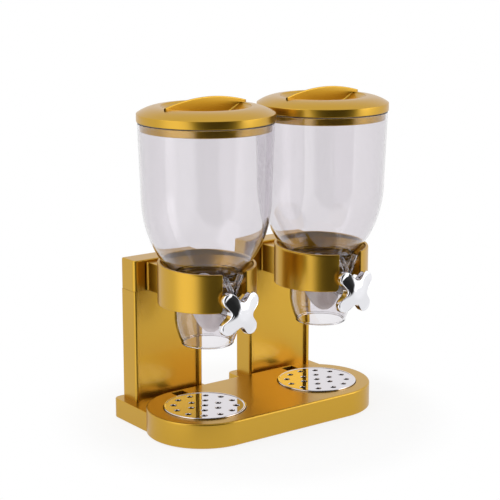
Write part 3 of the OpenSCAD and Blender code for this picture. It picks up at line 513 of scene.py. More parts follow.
# Section (r, z) with cone and seat, carried round the axis from one end of the front gap to the other. The
# end planes stand at x = gap, wider at the round lower corners, and the rim rises to the rear.
def collarRing():
    c = collar
    bottom, top, corner, edge = c["bottom"], c["top"], c["gapCorner"], c["gapEdge"]
    ringR, inR, seatR = c["ring"], c["ring"] - c["wall"], c["seatIn"] + c["seatWidth"]
    seatLow = c["seat"] - c["seatThick"]
    loop = roundCorners([
        (ringR, bottom, c["footOut"]), (ringR, top, c["rim"]), (inR, top, c["rimIn"]),
        (inR, top - c["coneStart"], c["coneEdge"]), (seatR, c["coneFoot"], c["coneEdge"]),
        (seatR, c["seat"], c["seatCorner"]), (c["seatIn"], c["seat"], c["seatEdge"]),
        (c["seatIn"], seatLow, c["seatEdge"]), (seatR, seatLow, c["underEdge"]),
        (inR, top - c["coneUnder"], c["underEdge"]), (inR, bottom, c["footIn"])])
    # extra rows up the outer wall, where the gap's lower corners turn
    outer = np.linspace(bottom + c["gapFrom"], bottom + corner + c["gapAbove"], c["gapRows"])
    upper = int(np.argmax(np.isclose(loop[:, 0], ringR) & (loop[:, 1] > bottom + corner)))
    loop = np.insert(loop, upper, np.stack([np.full(len(outer), ringR), outer], -1), axis=0)
    loopNormals = pathNormals(loop)
    near = edge * (1 - np.cos(np.linspace(0, quarter, c["endRows"])))
    share = np.linspace(0, 1, c["steps"])[1:-1]
    stations = [("start", d) for d in near] + [("mid", s) for s in share] + [("end", d) for d in near[::-1]]
    rings = []
    for kind, value in stations:
        inset = edge - math.sqrt(max(0, edge ** 2 - (edge - value) ** 2)) if kind != "mid" else 0.0
        section = loop - loopNormals * inset
        r, z = section[:, 0], section[:, 1]
        low = np.clip(corner - (z - bottom), 0, corner)
        halfGap = c["gap"] + corner - np.sqrt(corner ** 2 - low ** 2)
        turn = np.arcsin(halfGap / r)
        firstTurn = turn + (edge + meshing["guard"]) / r
        if kind == "mid":
            angle = firstTurn + value * (2 * math.pi - 2 * firstTurn)
        else:
            angle = turn + value / r
            if kind == "end":
                angle = 2 * math.pi - angle
        x, y = r * np.sin(angle), -r * np.cos(angle)
        # only the rim follows the slope: the rise fades out below it
        onRim = np.clip((z - (top - c["riseFrom"])) / c["riseOver"], 0, 1) * (r > inR - c["riseIn"])
        rings.append(np.stack([x, y, z + c["rise"] * (y + ringR) / (2 * ringR) * onRim], -1))
    grid = np.array(rings)
    rows, count = grid.shape[:2]
    faces = gridFaces(rows, count, closeColumns=True)
    faces.append(list(range(count)))
    faces.append(list(range(rows * count - 1, (rows - 1) * count - 1, -1)))
    return grid.reshape(-1, 3), faces


# Neck from an arc under the ring back to the column, and a rounded box on the column's top.
def collarNeckAndHead():
    c, k = collar, column
    h, f, radius = c["neckHalf"], k["front"], c["neckRadius"]
    wide, sunk = h + c["neckFlare"], f + c["neckSunk"]
    turn = np.linspace(math.asin(h / radius), -math.asin(h / radius), c["neckSteps"])
    neck = [(radius * math.sin(t), radius * math.cos(t), 0) for t in turn]
    neck += [(-h, f, c["fillet"]), (-wide, f, 0), (-wide, sunk, 0), (wide, sunk, 0), (wide, f, 0),
             (h, f, c["fillet"])]
    neckRows = edgeRows(k["top"], c["neckTop"], c["neckEdge"], 3, c["neckUnder"])
    head = boxPath(-k["half"], f, k["half"], k["back"], c["headCorner"], c["headRear"])
    headRows = edgeRows(k["top"], c["headTop"], c["headEdge"], 5, k["seam"])
    return joinParts([prism(roundCorners(neck), neckRows), prism(head, headRows)])


for side, cx in sides.items():
    buildColumn(side, cx)
    collarPart = joinParts([collarRing(), collarNeckAndHead()])
    addObject("collar" + side, shift(collarPart, cx, axisY), goldPlating, "stand",
              ["collar_" + side.lower()], 38, True)
print("columns and collars made")


plate = {"radius": 49.5, "top": 32.2, "rimTop": 32.8, "seat": 28.0, "skirt": 1.5, "skin": 1.4,
         "rimWidth": 4.5, "rimFoot": 2.6, "rimShoulder": 1.9, "rimRound": 1.1, "footRound": 1.0,
         "innerRound": 0.8, "skirtRound": 0.2, "ringA": 18.5, "ringB": 37.6, "turnA": 54.0, "turnB": 24.0,
         "hole": 3.3, "holeEdge": 0.9, "holeFlat": 0.5, "dimple": 0.75, "lipDepth": 0.4, "lipThick": 0.4,
         "steps": 96, "holeSteps": 28, "insideHole": 0.98}


# Middle hole, six holes round it and twelve near the rim.
def plateHoles():
    rings = [np.zeros((1, 2))]
    for count, radius, turn in ((6, plate["ringA"], plate["turnA"]), (12, plate["ringB"], plate["turnB"])):
        a = np.radians(np.arange(count) * 360 / count + turn)
        rings.append(np.stack([np.cos(a), np.sin(a)], -1) * radius)
    return np.concatenate(rings)


# Flat disc at height z with round holes: a Delaunay net between the outline and the hole circles, less the
# triangles whose middle lies in a hole.
def pierced(outerRadius, holes, holeRadius, z):
    circles = [(0, 0, outerRadius, plate["steps"])]
    circles += [(x, y, holeRadius, plate["holeSteps"]) for x, y in holes]
    flat, edges = [], []
    for x, y, radius, steps in circles:
        turn = np.linspace(0, 2 * math.pi, steps, endpoint=False)
        edges += [(len(flat) + i, len(flat) + (i + 1) % steps) for i in range(steps)]
        flat += list(np.stack([x + radius * np.cos(turn), y + radius * np.sin(turn)], -1))
    verts, _, triangles, *_ = delaunay_2d_cdt([Vector(p) for p in flat], edges, [], 1, 1e-6)
    verts = np.array([[v[0], v[1]] for v in verts])
    triangles = np.array(triangles)
    middle = verts[triangles].mean(axis=1)
    keep = np.ones(len(triangles), bool)
    for x, y in holes:
        keep &= np.hypot(middle[:, 0] - x, middle[:, 1] - y) > holeRadius * plate["insideHole"]
    return np.column_stack([verts, np.full(len(verts), z)]), triangles[keep].tolist()


# Pressed dish: a flat pierced skin whose holes turn down at their edges, a raised round rim and a skirt.
def buildPlate(side, cx):
    p = plate
    holes = plateHoles()
    radius, top, under = p["radius"], p["top"], p["top"] - p["skin"]
    flatRadius, inside = radius - p["rimWidth"], radius - p["skirt"]
    reach = p["hole"] + p["holeEdge"]
    wide = reach + p["holeFlat"]
    rim = roundCorners([(flatRadius, top, 0), (radius - p["rimFoot"], top, p["footRound"]),
                        (radius - p["rimShoulder"], p["rimTop"], p["innerRound"]),
                        (radius, p["rimTop"], p["rimRound"]), (radius, p["seat"], p["skirtRound"]),
                        (inside, p["seat"], p["skirtRound"]), (inside, under, p["innerRound"]),
                        (flatRadius, under, 0)], closed=False)
    t = np.linspace(0, quarter, 6)
    dent = np.stack([reach - p["holeEdge"] * np.sin(t), top - p["dimple"] * (1 - np.cos(t))], -1)
    lipEnd, lipOut = under - p["lipDepth"], p["hole"] + p["lipThick"]
    lip = np.concatenate([[[wide, top]], dent, [[p["hole"], lipEnd], [lipOut, lipEnd], [lipOut, under],
                                                [wide, under]]])
    hole = revolve(lip, p["holeSteps"], closed=False)
    parts = [pierced(flatRadius, holes, wide, top), pierced(flatRadius, holes, wide, under),
             revolve(rim, p["steps"], closed=False)] + [shift(hole, x, y) for x, y in holes]
    name = "drip_plate_" + side.lower()
    part = shift(joinParts(parts), cx, axisY + base["wellY"])
    addObject("dripPlate" + side, part, plateMirror, name, [name], 35, True)


for side, cx in sides.items():
    buildPlate(side, cx)
print("drip plates made")


hopper = {"top": 374.1, "rimRadius": 79.0, "radius": 76.0, "shoulder": 288.2, "bowl": 105.9, "wall": 2.2,
          "rimEdge": 0.8, "rimStep": 0.2, "rimDeep": 6, "rimFrom": 0.9, "rimClear": 2, "throat": 38.6,
          "throatBottom": 174.1, "throatEdge": 0.4, "seat": 190.1, "flange": 45.7, "flangeThick": 2.2,
          "flangeEdge": 0.4, "flangeFillet": 0.5, "seatFillet": 0.3, "lugZ": 179.1, "lugOut": 40.4,
          "lugSunk": 1, "lugHalf": 4, "lugHigh": 3, "lugEdge": 0.5, "steps": 160, "bowlRows": 41,
          "wallRows": 14}
spout = {"radius": 30.0, "mouth": 112.0, "taper": 143.2, "bulge": 1.8, "body": 38.6, "socketIn": 38.75,
         "socket": 41.15, "socketTop": 188.1, "lip": 1.0, "lipHeight": 2.0, "lipEdge": 0.6, "lipClear": 0.8,
         "edge": 0.5, "innerEdge": 0.4, "bodyLow": 22, "stepFrom": 6.8, "stepTo": 2.5, "stepRound": 1.1,
         "stepSoft": 0.4, "boss": 9.5, "bossRoot": 35.5, "bossNeck": 37.5, "bossReach": 57.4,
         "bossStep": 0.2, "boreEdge": 0.3, "bushBore": 6.45, "rearBoss": 8.0, "rearRoot": 36.2,
         "rearEnd": 42.75, "rearEdge": 0.6, "rearBore": 4.05, "rearFloor": 1.6, "axisZ": 160.5,
         "ribThick": 2.0, "ribHalf": 12.5, "ribTop": 202.5, "ribFoot": 8.5, "ribEdge": 0.3, "ribFront": 2,
         "ribSunk": 0.6, "armWide": 3.0, "armEdge": 0.5, "fork": 179.5, "forkDown": 2, "forkUp": 1.5,
         "webUp": 1, "ribBack": 47.0, "steps": 144, "bossSteps": 48, "taperRows": 22}


# Radius of the bowl, a quarter ellipse from the shoulder down.
def bowlRadius(z, wall):
    h = hopper
    share = np.clip((h["shoulder"] - z) / (h["bowl"] - wall), 0, 1)
    return (h["radius"] - wall) * np.sqrt(1 - share ** 2)


# Profile of the bowl's outer or inner face from the shoulder down to the throat.
def bowlProfile(wall):
    h = hopper
    lowest = math.asin(math.sqrt(1 - ((h["throat"] - wall) / (h["radius"] - wall)) ** 2))
    z = h["shoulder"] - (h["bowl"] - wall) * np.sin(np.linspace(0, 1, h["bowlRows"]) * lowest)
    return list(zip(bowlRadius(z, wall), z))


# Straight cone above, half ellipse below, down to a straight throat with a flange that rests on its seat.
def buildHopper(side, cx):
    h = hopper
    w, top, throat, low = h["wall"], h["top"], h["throat"], h["throatBottom"]
    rimR, shoulder, edge, step = h["rimRadius"], h["shoulder"], h["rimEdge"], h["rimStep"]
    slope = (rimR - h["radius"]) / (top - shoulder)
    up = np.linspace(top - h["rimFrom"], shoulder, h["wallRows"])[:-1]
    up = up[up < top - h["rimClear"]]
    rim = roundCorners([(rimR - w - step, top - h["rimDeep"], 0), (rimR - w, top, edge), (rimR, top, edge),
                        (rimR - step, top - h["rimDeep"], 0)], closed=False)[1:-1]
    profile = list(map(tuple, rim))
    profile += [(h["radius"] + (z - shoulder) * slope, z) for z in up]
    profile += bowlProfile(0.0)
    f, s, e, fillet = h["flange"], h["seat"], h["flangeEdge"], h["flangeFillet"]
    flangeTop = s + h["flangeThick"]
    profile += [(throat + fillet, flangeTop + fillet), (throat + 2 * fillet, flangeTop), (f - e, flangeTop),
                (f, flangeTop - e), (f, s + e), (f - e, s), (throat + h["seatFillet"], s),
                (throat, s - h["seatFillet"])]
    e = h["throatEdge"]
    profile += [(throat, low + e), (throat - e, low), (throat - w + e, low), (throat - w, low + e)]
    profile += bowlProfile(w)[::-1]
    profile += [(h["radius"] - w + (z - shoulder) * slope, z) for z in up[::-1]]
    e, half = h["lugEdge"], h["lugHalf"]
    lug = prism(boxPath(throat - h["lugSunk"], -half, h["lugOut"], half, e, e),
                edgeRows(h["lugZ"], h["lugZ"] + h["lugHigh"], e, 2, e))
    mirrored = (lug[0] * np.array([-1, 1, 1]), [face[::-1] for face in lug[1]])
    part = joinParts([revolve(profile, h["steps"]), lug, mirrored])
    addObject("hopperShell" + side, shift(part, cx, axisY), clearPlastic, "hopper_" + side.lower(),
              ["canister_" + side.lower()], 35)


# Turns a part made about +z so that +z points to the front, on the shaft's axis.
def alongShaft(part):
    points, faces = part
    return np.stack([points[:, 0], -points[:, 2], points[:, 1] + spout["axisZ"]], -1), faces


# Cup's wall between lip and straight part: the radius falls from the body's with a power of the depth.
def taperProfile(z, wall):
    s = spout
    share = np.clip((s["taper"] - z) / (s["taper"] - s["mouth"]), 0, 1)
    return list(zip(s["radius"] + (s["body"] - s["radius"]) * (1 - share ** s["bulge"]) - wall, z))


# Cup below the throat: socket, straight part, curved taper and a thick lip.
def spoutCup():
    s = spout
    w, body, mouth, lipTop = hopper["wall"], s["body"], s["mouth"], s["mouth"] + s["lipHeight"]
    low, lipOut, socket, inside = hopper["throatBottom"], s["radius"] + s["lip"], s["socket"], s["socketIn"]
    top, straight, edge, inner = s["socketTop"], low - s["bodyLow"], s["edge"], s["innerEdge"]
    lipEdge, soft, rounding = s["lipEdge"], s["stepSoft"], s["stepRound"]
    stepFrom, stepTo = low - s["stepFrom"], low - s["stepTo"]
    z = np.linspace(lipTop + s["lipClear"], s["taper"], s["taperRows"])
    profile = [(s["radius"] - w + inner, mouth), (lipOut - lipEdge, mouth), (lipOut, mouth + lipEdge),
               (lipOut, lipTop - edge), (lipOut - edge, lipTop)]
    profile += taperProfile(z, 0)
    profile += [(body, straight), (body, stepFrom), (body + soft, stepFrom + rounding),
                (socket - soft, stepTo - rounding), (socket, stepTo), (socket, top - edge),
                (socket - edge, top), (inside + inner, top), (inside, top - inner), (inside, low),
                (body - w, low), (body - w, straight)]
    profile += taperProfile(z[::-1], w)
    profile.append((s["radius"] - w, mouth + inner))
    return revolve(profile, s["steps"])


# The cup with a front and a rear bearing boss, and above the front one a rib that forks into two arms.
def buildSpout(side, cx):
    s = spout
    bore, boss, reach, rear, end = s["bushBore"], s["boss"], s["bossReach"], s["rearBoss"], s["rearEnd"]
    edge, boreEdge, rearEdge = s["edge"], s["boreEdge"], s["rearEdge"]
    front = revolve([(bore, s["bossRoot"]), (boss - s["bossStep"], s["bossRoot"]), (boss, s["bossNeck"]),
                     (boss, reach - edge), (boss - edge, reach), (bore + boreEdge, reach),
                     (bore, reach - boreEdge)], s["bossSteps"])
    back = revolve([(s["rearBore"], -s["rearRoot"]), (rear, -s["rearRoot"]), (rear, -end + rearEdge),
                    (rear - rearEdge, -end), (0, -end), (0, -end + s["rearFloor"]),
                    (s["rearBore"], -end + s["rearFloor"])], s["bossSteps"])
    t, half, top, fork, soft = s["ribThick"] / 2, s["ribHalf"], s["ribTop"], s["fork"], s["ribEdge"]
    ribFront = reach - s["ribFront"]
    web = boxPath(-t, -ribFront, t, -s["body"] + s["ribSunk"], soft, soft)
    parts = [spoutCup(), alongShaft(front), alongShaft(back),
             prism(web, edgeRows(s["axisZ"] + s["ribFoot"], fork + s["webUp"], soft, 2))]
    # fork arms: a slanted strip in the x-z plane, carried along y
    for m in (1, -1):
        strip = roundCorners([(-t * m, fork - s["forkDown"], soft), (t * m, fork - s["forkDown"], soft),
                              (half * m, top, s["armEdge"]), ((half - s["armWide"]) * m, top, s["armEdge"]),
                              (-t * m, fork + s["forkUp"], soft)])
        arm, faces = prism(strip, edgeRows(0, ribFront - s["ribBack"], soft, 2, soft))
        parts.append((np.stack([arm[:, 0], -s["ribBack"] - arm[:, 2], arm[:, 1]], -1), faces))
    addObject("spoutCup" + side, shift(joinParts(parts), cx, axisY), clearPlastic, "hopper_" + side.lower(),
              ["chute_" + side.lower()], 35)


for side, cx in sides.items():
    buildHopper(side, cx)
    buildSpout(side, cx)
print("hoppers and spouts made")


lid = {"radius": 80.0, "bottom": 375.3, "rim": 9.0, "domeRise": 8.5, "bend": 2.2, "recess": 52.0,
       "depth": 16.0, "wall": 2.0, "round": 1.0, "footIn": 0.3, "footOut": 0.5, "domeFrom": 0.3,
       "domeTo": 0.9, "lip": 0.8, "lipPoints": [(0.45, 0.12), (0.1, 0.45)], "underClear": 2.6,
       "underIn": 1.0, "underOut": 0.5, "steps": 192, "domeRows": 26, "bowlRows": 34, "underRows": 12,
       "edgeRows": 6, "finHalf": 63.0, "finThick": 2.0, "finEnd": 2.8, "finSunk": 0.05, "finRise": 8.5,
       "finEdge": 0.8, "finRows": 81, "finRound": 1.2, "finTurn": 7.0, "footInBowl": 0.8,
       "footInDome": 1.0, "finTip": 1e-4, "crease": 1.6, "creaseEnd": 0.4, "creaseFade": 6,
       "creaseLeast": 0.35, "creaseSunk": 0.3, "creaseRows": 91, "arcRows": 7, "plugOut": 76.2,
       "plugWall": 2.4, "plugBottom": 365.3, "plugClear": 0.2, "plugRib": 2.3, "plugSlope": 0.1,
       "plugEdge": 0.8, "plugRibEdge": 0.4, "plugCorner": 0.2, "sealOut": 79.0, "sealIn": 76.5,
       "sealBottom": 374.1, "sealHigh": 1.2, "sealInEdge": 0.3, "sealOutEdge": 0.5, "bandSteps": 128}
lidRimTop = lid["bottom"] + lid["rim"]
lidTop = lidRimTop + lid["domeRise"]


# Height of the dome: it falls from the bowl's edge to the rim with a power of the distance.
def domeZ(r):
    g = lid
    share = np.clip((r - g["recess"]) / (g["radius"] - g["recess"]), 0, 1)
    return lidRimTop + g["domeRise"] * (1 - share ** g["bend"])


# Radius of the finger bowl's sphere, half the angle of its cap, and the height of its middle.
def bowlCap():
    g = lid
    deep = g["depth"] - g["lip"]
    radius = (g["recess"] ** 2 + deep ** 2) / (2 * deep)
    turn = math.asin(g["recess"] / radius)
    return radius, turn, lidTop - g["lip"] + radius * math.cos(turn)


# Profile of the finger bowl, a cap of a sphere: t runs from its edge, 0, to its lowest point, a right angle.
def recessPoint(t, grow):
    radius, turn, middle = bowlCap()
    away = turn * (1 - t / quarter)
    return list(zip((radius + grow) * np.sin(away), middle - (radius + grow) * np.cos(away)))


# Height of the finger bowl's surface at a distance from the lid's axis: the sphere's lower side.
def bowlZ(r):
    radius, _, middle = bowlCap()
    return middle - np.sqrt(radius ** 2 - r ** 2)


# Hollow rounding where one face of the fin meets the bowl: a quarter circle carried along the curve in which
# they cross, closed behind by a corner sunk in the metal.
def finCrease(sign):
    g = lid
    half = g["finThick"] / 2
    wide = math.sqrt(g["recess"] ** 2 - half ** 2) - g["creaseEnd"]
    x = np.linspace(-wide, wide, g["creaseRows"])
    foot = np.stack([x, 0 * x + sign * half, bowlZ(np.hypot(x, half))], -1)
    away = np.array([0, sign, 0])
    inward = np.array([0, 0, bowlCap()[2]]) - foot
    inward /= np.linalg.norm(inward, axis=1)[:, None]
    size = g["crease"] * np.clip((wide - np.abs(x)) / g["creaseFade"], g["creaseLeast"], 1)[:, None]
    centre = foot + size * (away + inward)
    rows = [centre - size * (math.cos(a) * away + math.sin(a) * inward)
            for a in np.linspace(0, quarter, g["arcRows"])]
    rows.append(foot - g["creaseSunk"] * (away + inward))
    loop = np.stack(rows, 1)
    count = loop.shape[1]
    faces = gridFaces(len(x), count, closeColumns=True)
    faces += [list(range(count)), list(range((len(x) - 1) * count, len(x) * count))]
    return loop.reshape(-1, 3), faces


# Arched fin: u runs along it, and the rows run round its section of foot, side, rounded top edge and side.
def lidFin():
    g = lid
    u = np.linspace(-1, 1, g["finRows"])
    x, edge = g["finHalf"] * u, g["finEdge"]
    crest = domeZ(g["finHalf"]) + g["finEnd"] - g["finSunk"] + g["finRise"] * (1 - u ** 2)
    inBowl = bowlZ(np.minimum(np.abs(x), g["recess"])) - g["footInBowl"]
    footZ = np.where(np.abs(x) < g["recess"], inBowl, domeZ(np.abs(x)) - g["footInDome"])
    ends = np.clip((1 - np.abs(u)) * g["finHalf"] / g["finRound"], 0, 1)
    half = g["finThick"] / 2 * np.sqrt(1 - (1 - ends) ** 2) + g["finTip"]
    sideZ = np.maximum(crest - 2 * edge, footZ)
    rows = [(-half, footZ), (-half, sideZ)]
    rows += [(-half * math.cos(a), crest - edge + edge * math.sin(a))
             for a in np.linspace(0, math.pi, g["arcRows"])]
    rows += [(half, sideZ), (half, footZ)]
    grid = np.array([np.stack([x, y, z], -1) for y, z in rows])
    fin = (grid, gridFaces(grid.shape[0], grid.shape[1], closeRows=True))
    points, faces = joinParts([fin, finCrease(1), finCrease(-1)])
    x, y = spin(points[:, 0], points[:, 1], math.radians(g["finTurn"]))
    return np.stack([x, y, points[:, 2]], -1), faces


# Rim, dome and finger bowl in one revolved wall.
def lidShell():
    g = lid
    radius, wall, bottom, recess, edge = g["radius"], g["wall"], g["bottom"], g["recess"], g["round"]
    edgeTurn = math.atan2(radius - recess, g["domeRise"] * g["bend"])
    edgeEnd = radius - edge + edge * math.cos(edgeTurn)
    edgeZ = domeZ(edgeEnd) - edge * math.sin(edgeTurn)
    over = np.linspace(edgeEnd - g["domeFrom"], recess + g["domeTo"], g["domeRows"])
    under = np.linspace(recess + wall + g["underIn"], radius - wall - g["underOut"], g["underRows"])
    t = np.linspace(0, quarter, g["bowlRows"])
    profile = [(radius - wall, bottom + g["footIn"]), (radius - wall + g["footIn"], bottom),
               (radius - g["footOut"], bottom), (radius, bottom + g["footOut"])]
    profile += [(radius - edge + edge * math.cos(a), edgeZ + edge * math.sin(a))
                for a in np.linspace(0, edgeTurn, g["edgeRows"])]
    profile += list(zip(over, domeZ(over)))
    profile += [(recess + out, lidTop - down) for out, down in g["lipPoints"]]
    profile += recessPoint(t, 0)
    profile += [(r, z) for r, z in recessPoint(t[::-1], wall) if z < lidTop - g["underClear"]]
    profile += list(zip(under, domeZ(under) - wall))
    return revolve(profile, g["steps"])


# The lid's top, the plug band that stands in the hopper's mouth with a rib inside the rim, and the seal.
def buildLid(side, cx):
    g = lid
    name = side.lower()
    top = shift(joinParts([lidShell(), lidFin()]), cx, axisY)
    addObject("lidTop" + side, top, goldPlating, "lid_" + name, ["lid_" + name], 42)
    p, low, bottom, clear = g["plugOut"], g["plugBottom"], g["bottom"], g["plugClear"]
    ribTop, ribR, corner = bottom + g["plugRib"], g["radius"] - g["wall"] - clear, g["plugCorner"]
    plugIn, plugTop = p - g["plugWall"], domeZ(p) - g["wall"] - clear
    plug = roundCorners([(p, low, g["plugEdge"]), (p, bottom, corner), (ribR, bottom, corner),
                         (ribR, ribTop, g["plugRibEdge"]), (p, ribTop + g["plugSlope"], corner),
                         (p, plugTop, corner), (plugIn, plugTop, corner), (plugIn, low, g["plugEdge"])])
    addObject("lidPlugBand" + side, shift(revolve(plug, g["bandSteps"]), cx, axisY), goldPlating,
              "lid_" + name, ["lid_plug_" + name])
    low, high = g["sealBottom"], g["sealBottom"] + g["sealHigh"]
    inner, outer = g["sealInEdge"], g["sealOutEdge"]
    seal = roundCorners([(g["sealIn"], low, inner), (g["sealOut"], low, outer), (g["sealOut"], high, outer),
                         (g["sealIn"], high, inner)])
    addObject("lidSealRing" + side, shift(revolve(seal, g["bandSteps"]), cx, axisY), sealRubber,
              "lid_" + name, ["lid_seal_" + name])


for side, cx in sides.items():
    buildLid(side, cx)
print("lids made")


knob = {"lobe": 9.0, "reach": 22.6, "back": 59.8, "thick": 13.0, "tip": 8.5, "turn": -5.0, "edge": 2.6,
        "edgeRows": 9, "blend": 7.0, "outermost": 31.6, "hub": 6.0, "fall": 1.3, "fallMost": 1.25,
        "backEdge": 1.0, "backRows": 4, "backWall": 1.0, "bore": 4.03, "boreDeep": 6, "sleeve": 7.4,
        "sleeveFront": 58.9, "sleeveSunk": 0.5, "sleeveSteps": 48, "rays": 240, "search": (2.0, 40.0),
        "halvings": 40, "faceRows": (0, 0.15, 0.3, 0.45, 0.6, 0.75, 0.88, 0.97)}
# faceRows are (share of the way from the sleeve to the rim, share of the width) of each row on a paddle
paddle = {"radius": 35.0, "thick": 1.6, "sleeve": 9.1, "sleeveHalf": 32.1, "sleeveEdge": 0.6,
          "bore": 7.55, "boreEdge": 0.2, "root": 8.6, "blades": 4, "rays": 61, "rimRows": 7,
          "faceRows": ((0, 0.25), (0.5, 1), (0.9, 1), (0.97, 1)), "sleeveSteps": 64}


# Signed distance to two crossed capsules at 45 degrees, blended smoothly where they meet.
def crossDistance(x, y):
    k = knob
    c = math.sqrt(0.5)
    u, v = (x + y) * c, (y - x) * c
    a = np.hypot(u - np.clip(u, -k["reach"], k["reach"]), v) - k["lobe"]
    b = np.hypot(v - np.clip(v, -k["reach"], k["reach"]), u) - k["lobe"]
    h = np.clip(0.5 + 0.5 * (b - a) / k["blend"], 0, 1)
    return b * (1 - h) + a * h - k["blend"] * h * (1 - h)


# Front of the knob: it falls from the hub towards the lobes' ends with a power of the distance.
def knobFrontZ(radius):
    k = knob
    slope = np.clip((radius - k["hub"]) / (k["reach"] - k["hub"]), 0, k["fallMost"])
    return k["back"] + k["thick"] - (k["thick"] - k["tip"]) * slope ** k["fall"]


# Polar grid: rays to the outline of the crossed lobes, found by halving. The front turns over a round edge
# into the side wall, and the back ends at the shaft's bore.
def buildKnob(side, cx):
    k = knob
    count, edge, back, backEdge = k["rays"], k["edge"], k["back"], k["backEdge"]
    angle = np.linspace(0, 2 * math.pi, count, endpoint=False)
    turned = math.radians(k["turn"])
    low, high = (np.full(count, distance) for distance in k["search"])
    for _ in range(k["halvings"]):
        midway = (low + high) / 2
        inside = crossDistance(midway * np.cos(angle - turned), midway * np.sin(angle - turned)) < 0
        low, high = np.where(inside, midway, low), np.where(inside, high, midway)
    outline = np.minimum(low, k["outermost"])
    inner = outline - edge
    rings = [(inner * share, knobFrontZ(inner * share)) for share in k["faceRows"]]
    rings += [(inner + edge * math.sin(t), knobFrontZ(inner) - edge * (1 - math.cos(t)))
              for t in np.linspace(0, quarter, k["edgeRows"])]
    rings.append((outline, back + backEdge + k["backWall"]))
    rings += [(outline - backEdge * (1 - math.cos(t)), back + backEdge * (1 - math.sin(t)))
              for t in np.linspace(0, quarter, k["backRows"])]
    rings += [(k["bore"], back), (k["bore"], back + k["boreDeep"]), (0, back + k["boreDeep"])]
    grid = np.array([np.stack([r * np.cos(angle), r * np.sin(angle), z + 0 * angle], -1) for r, z in rings])
    body = (grid.reshape(-1, 3), gridFaces(len(rings), count, closeColumns=True))
    sunk = back + k["sleeveSunk"]
    sleeve = revolve([(k["bore"], k["sleeveFront"]), (k["sleeve"], k["sleeveFront"]), (k["sleeve"], sunk),
                      (k["bore"], sunk)], k["sleeveSteps"])
    name = side.lower()
    addObject("knobCross" + side, shift(alongShaft(joinParts([body, sleeve])), cx, axisY), knobChrome,
              "wheel_" + name, ["knob_" + name], 50)


# Sleeve on the hub and two crossed discs through the shaft's axis. Each half disc stands beyond the sleeve:
# u runs round its edge, the rows from the sleeve out, over the rounded rim and back.
def buildPaddles(side, cx):
    g = paddle
    t, root, half = g["thick"] / 2, g["root"], g["sleeveHalf"]
    reach = g["radius"] - t
    tube = roundCorners([(g["bore"], -half, g["boreEdge"]), (g["sleeve"], -half, g["sleeveEdge"]),
                         (g["sleeve"], half, g["sleeveEdge"]), (g["bore"], half, g["boreEdge"])])
    parts = [revolve(tube, g["sleeveSteps"])]
    widest = math.acos(root / g["radius"])
    u = np.linspace(-widest, widest, g["rays"])
    face = []
    for share, narrow in g["faceRows"]:
        out = root + (reach * np.cos(u) - root) * share
        face.append((np.maximum(out, root), reach * np.sin(u) * narrow))
    rows = [(x, y, -t) for x, y in face]
    for a in np.linspace(-quarter, quarter, g["rimRows"]):
        edge = reach + t * math.cos(a)
        rows.append((edge * np.cos(u), edge * np.sin(u), t * math.sin(a)))
    rows += [(x, y, t) for x, y in face[::-1]]
    x, y, z = np.array([np.stack([x, y, z + 0 * u], -1) for x, y, z in rows]).transpose(2, 0, 1)
    faces = gridFaces(len(rows), g["rays"], closeRows=True)
    for turn in np.arange(g["blades"]) * quarter + quarter:
        parts.append((np.stack([*spin(x, z, turn), y], -1), faces))
    name = side.lower()
    addObject("paddleWheel" + side, shift(alongShaft(joinParts(parts)), cx, axisY), softSilicone,
              "wheel_" + name, ["paddles_" + name])


for side, cx in sides.items():
    buildKnob(side, cx)
    buildPaddles(side, cx)
print("knobs and wheels made")


# CAD parts that keep their shape and only get a finish
keptFinish = {
    goldPlating: ["column_back_left", "column_back_right"],
    zincSteel: ["base_screws", "column_screws", "back_cover_screws", "collar_screws", "shaft_left",
                "shaft_right", "drive_pin_left", "drive_pin_right"],
    whiteAcetal: ["shaft_bush_left", "shaft_bush_right", "wheel_hub_left", "wheel_hub_right"],
    padRubber: ["base_feet"], darkUnderside: ["base_bottom_plate"]}
for finish, names in keptFinish.items():
    for name in names:
        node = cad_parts[name]
        node.data.materials.clear()
        node.data.materials.append(finish)
print("kept parts finished")


# A soft box is (direction, gain, inner angle, outer angle), a panel (name, place, size, power). Angles are
# in degrees, panels and the floor in metres, and the camera's place and target in mm.
studio = {
    "floor": 0.95, "floorRoughness": 0.9, "glow": 0.8, "floorRadius": 0.27, "floorFade": 0.19,
    "floorEnd": 0.98, "floorSteps": 96, "sky": 0.85,
    "dark": 0.02, "darkTowards": (-0.29, -0.916, 0.276), "darkInner": 40.0, "darkOuter": 49.0,
    "softBoxes": [((-0.98, -0.11, -0.14), 0.6, 12, 34), ((0.70, -0.70, 0.0), 0.1, 12, 34),
                  ((0.585, -0.777, 0.232), 1.3, 10, 24)],
    "panels": [("keyPanel", (-1.5, 0.1, 1.5), (1.4, 1.4), 6.0),
               ("fillPanel", (1.5, -0.9, 1.0), (0.9, 1.4), 3.0)],
    "panelTarget": (0, 0, 0.2), "cameraPlace": (-1050.9, -1395.6, 600.2), "target": (-23.53, -19.25, 215.36),
    "lens": 106.38, "sensor": 36.0, "clip": (0.05, 30)}


# One where a camera, glossy or transmission ray looks, so that metal and plastic show the backdrop too.
def seenDirectly(tree):
    path = tree.nodes.new("ShaderNodeLightPath")
    first = mathNode(tree, "MAXIMUM", path.outputs["Is Camera Ray"], path.outputs["Is Glossy Ray"])
    return path, mathNode(tree, "MAXIMUM", first, path.outputs["Is Transmission Ray"])


# Smooth step of a value between two bounds, from one result to another.
def smoothStep(tree, value, low, high, start, end):
    step = tree.nodes.new("ShaderNodeMapRange")
    step.interpolation_type = "SMOOTHSTEP"
    tree.links.new(value, step.inputs["Value"])
    setInputs(step, {"From Min": low, "From Max": high, "To Min": start, "To Max": end})
    return step.outputs["Result"]


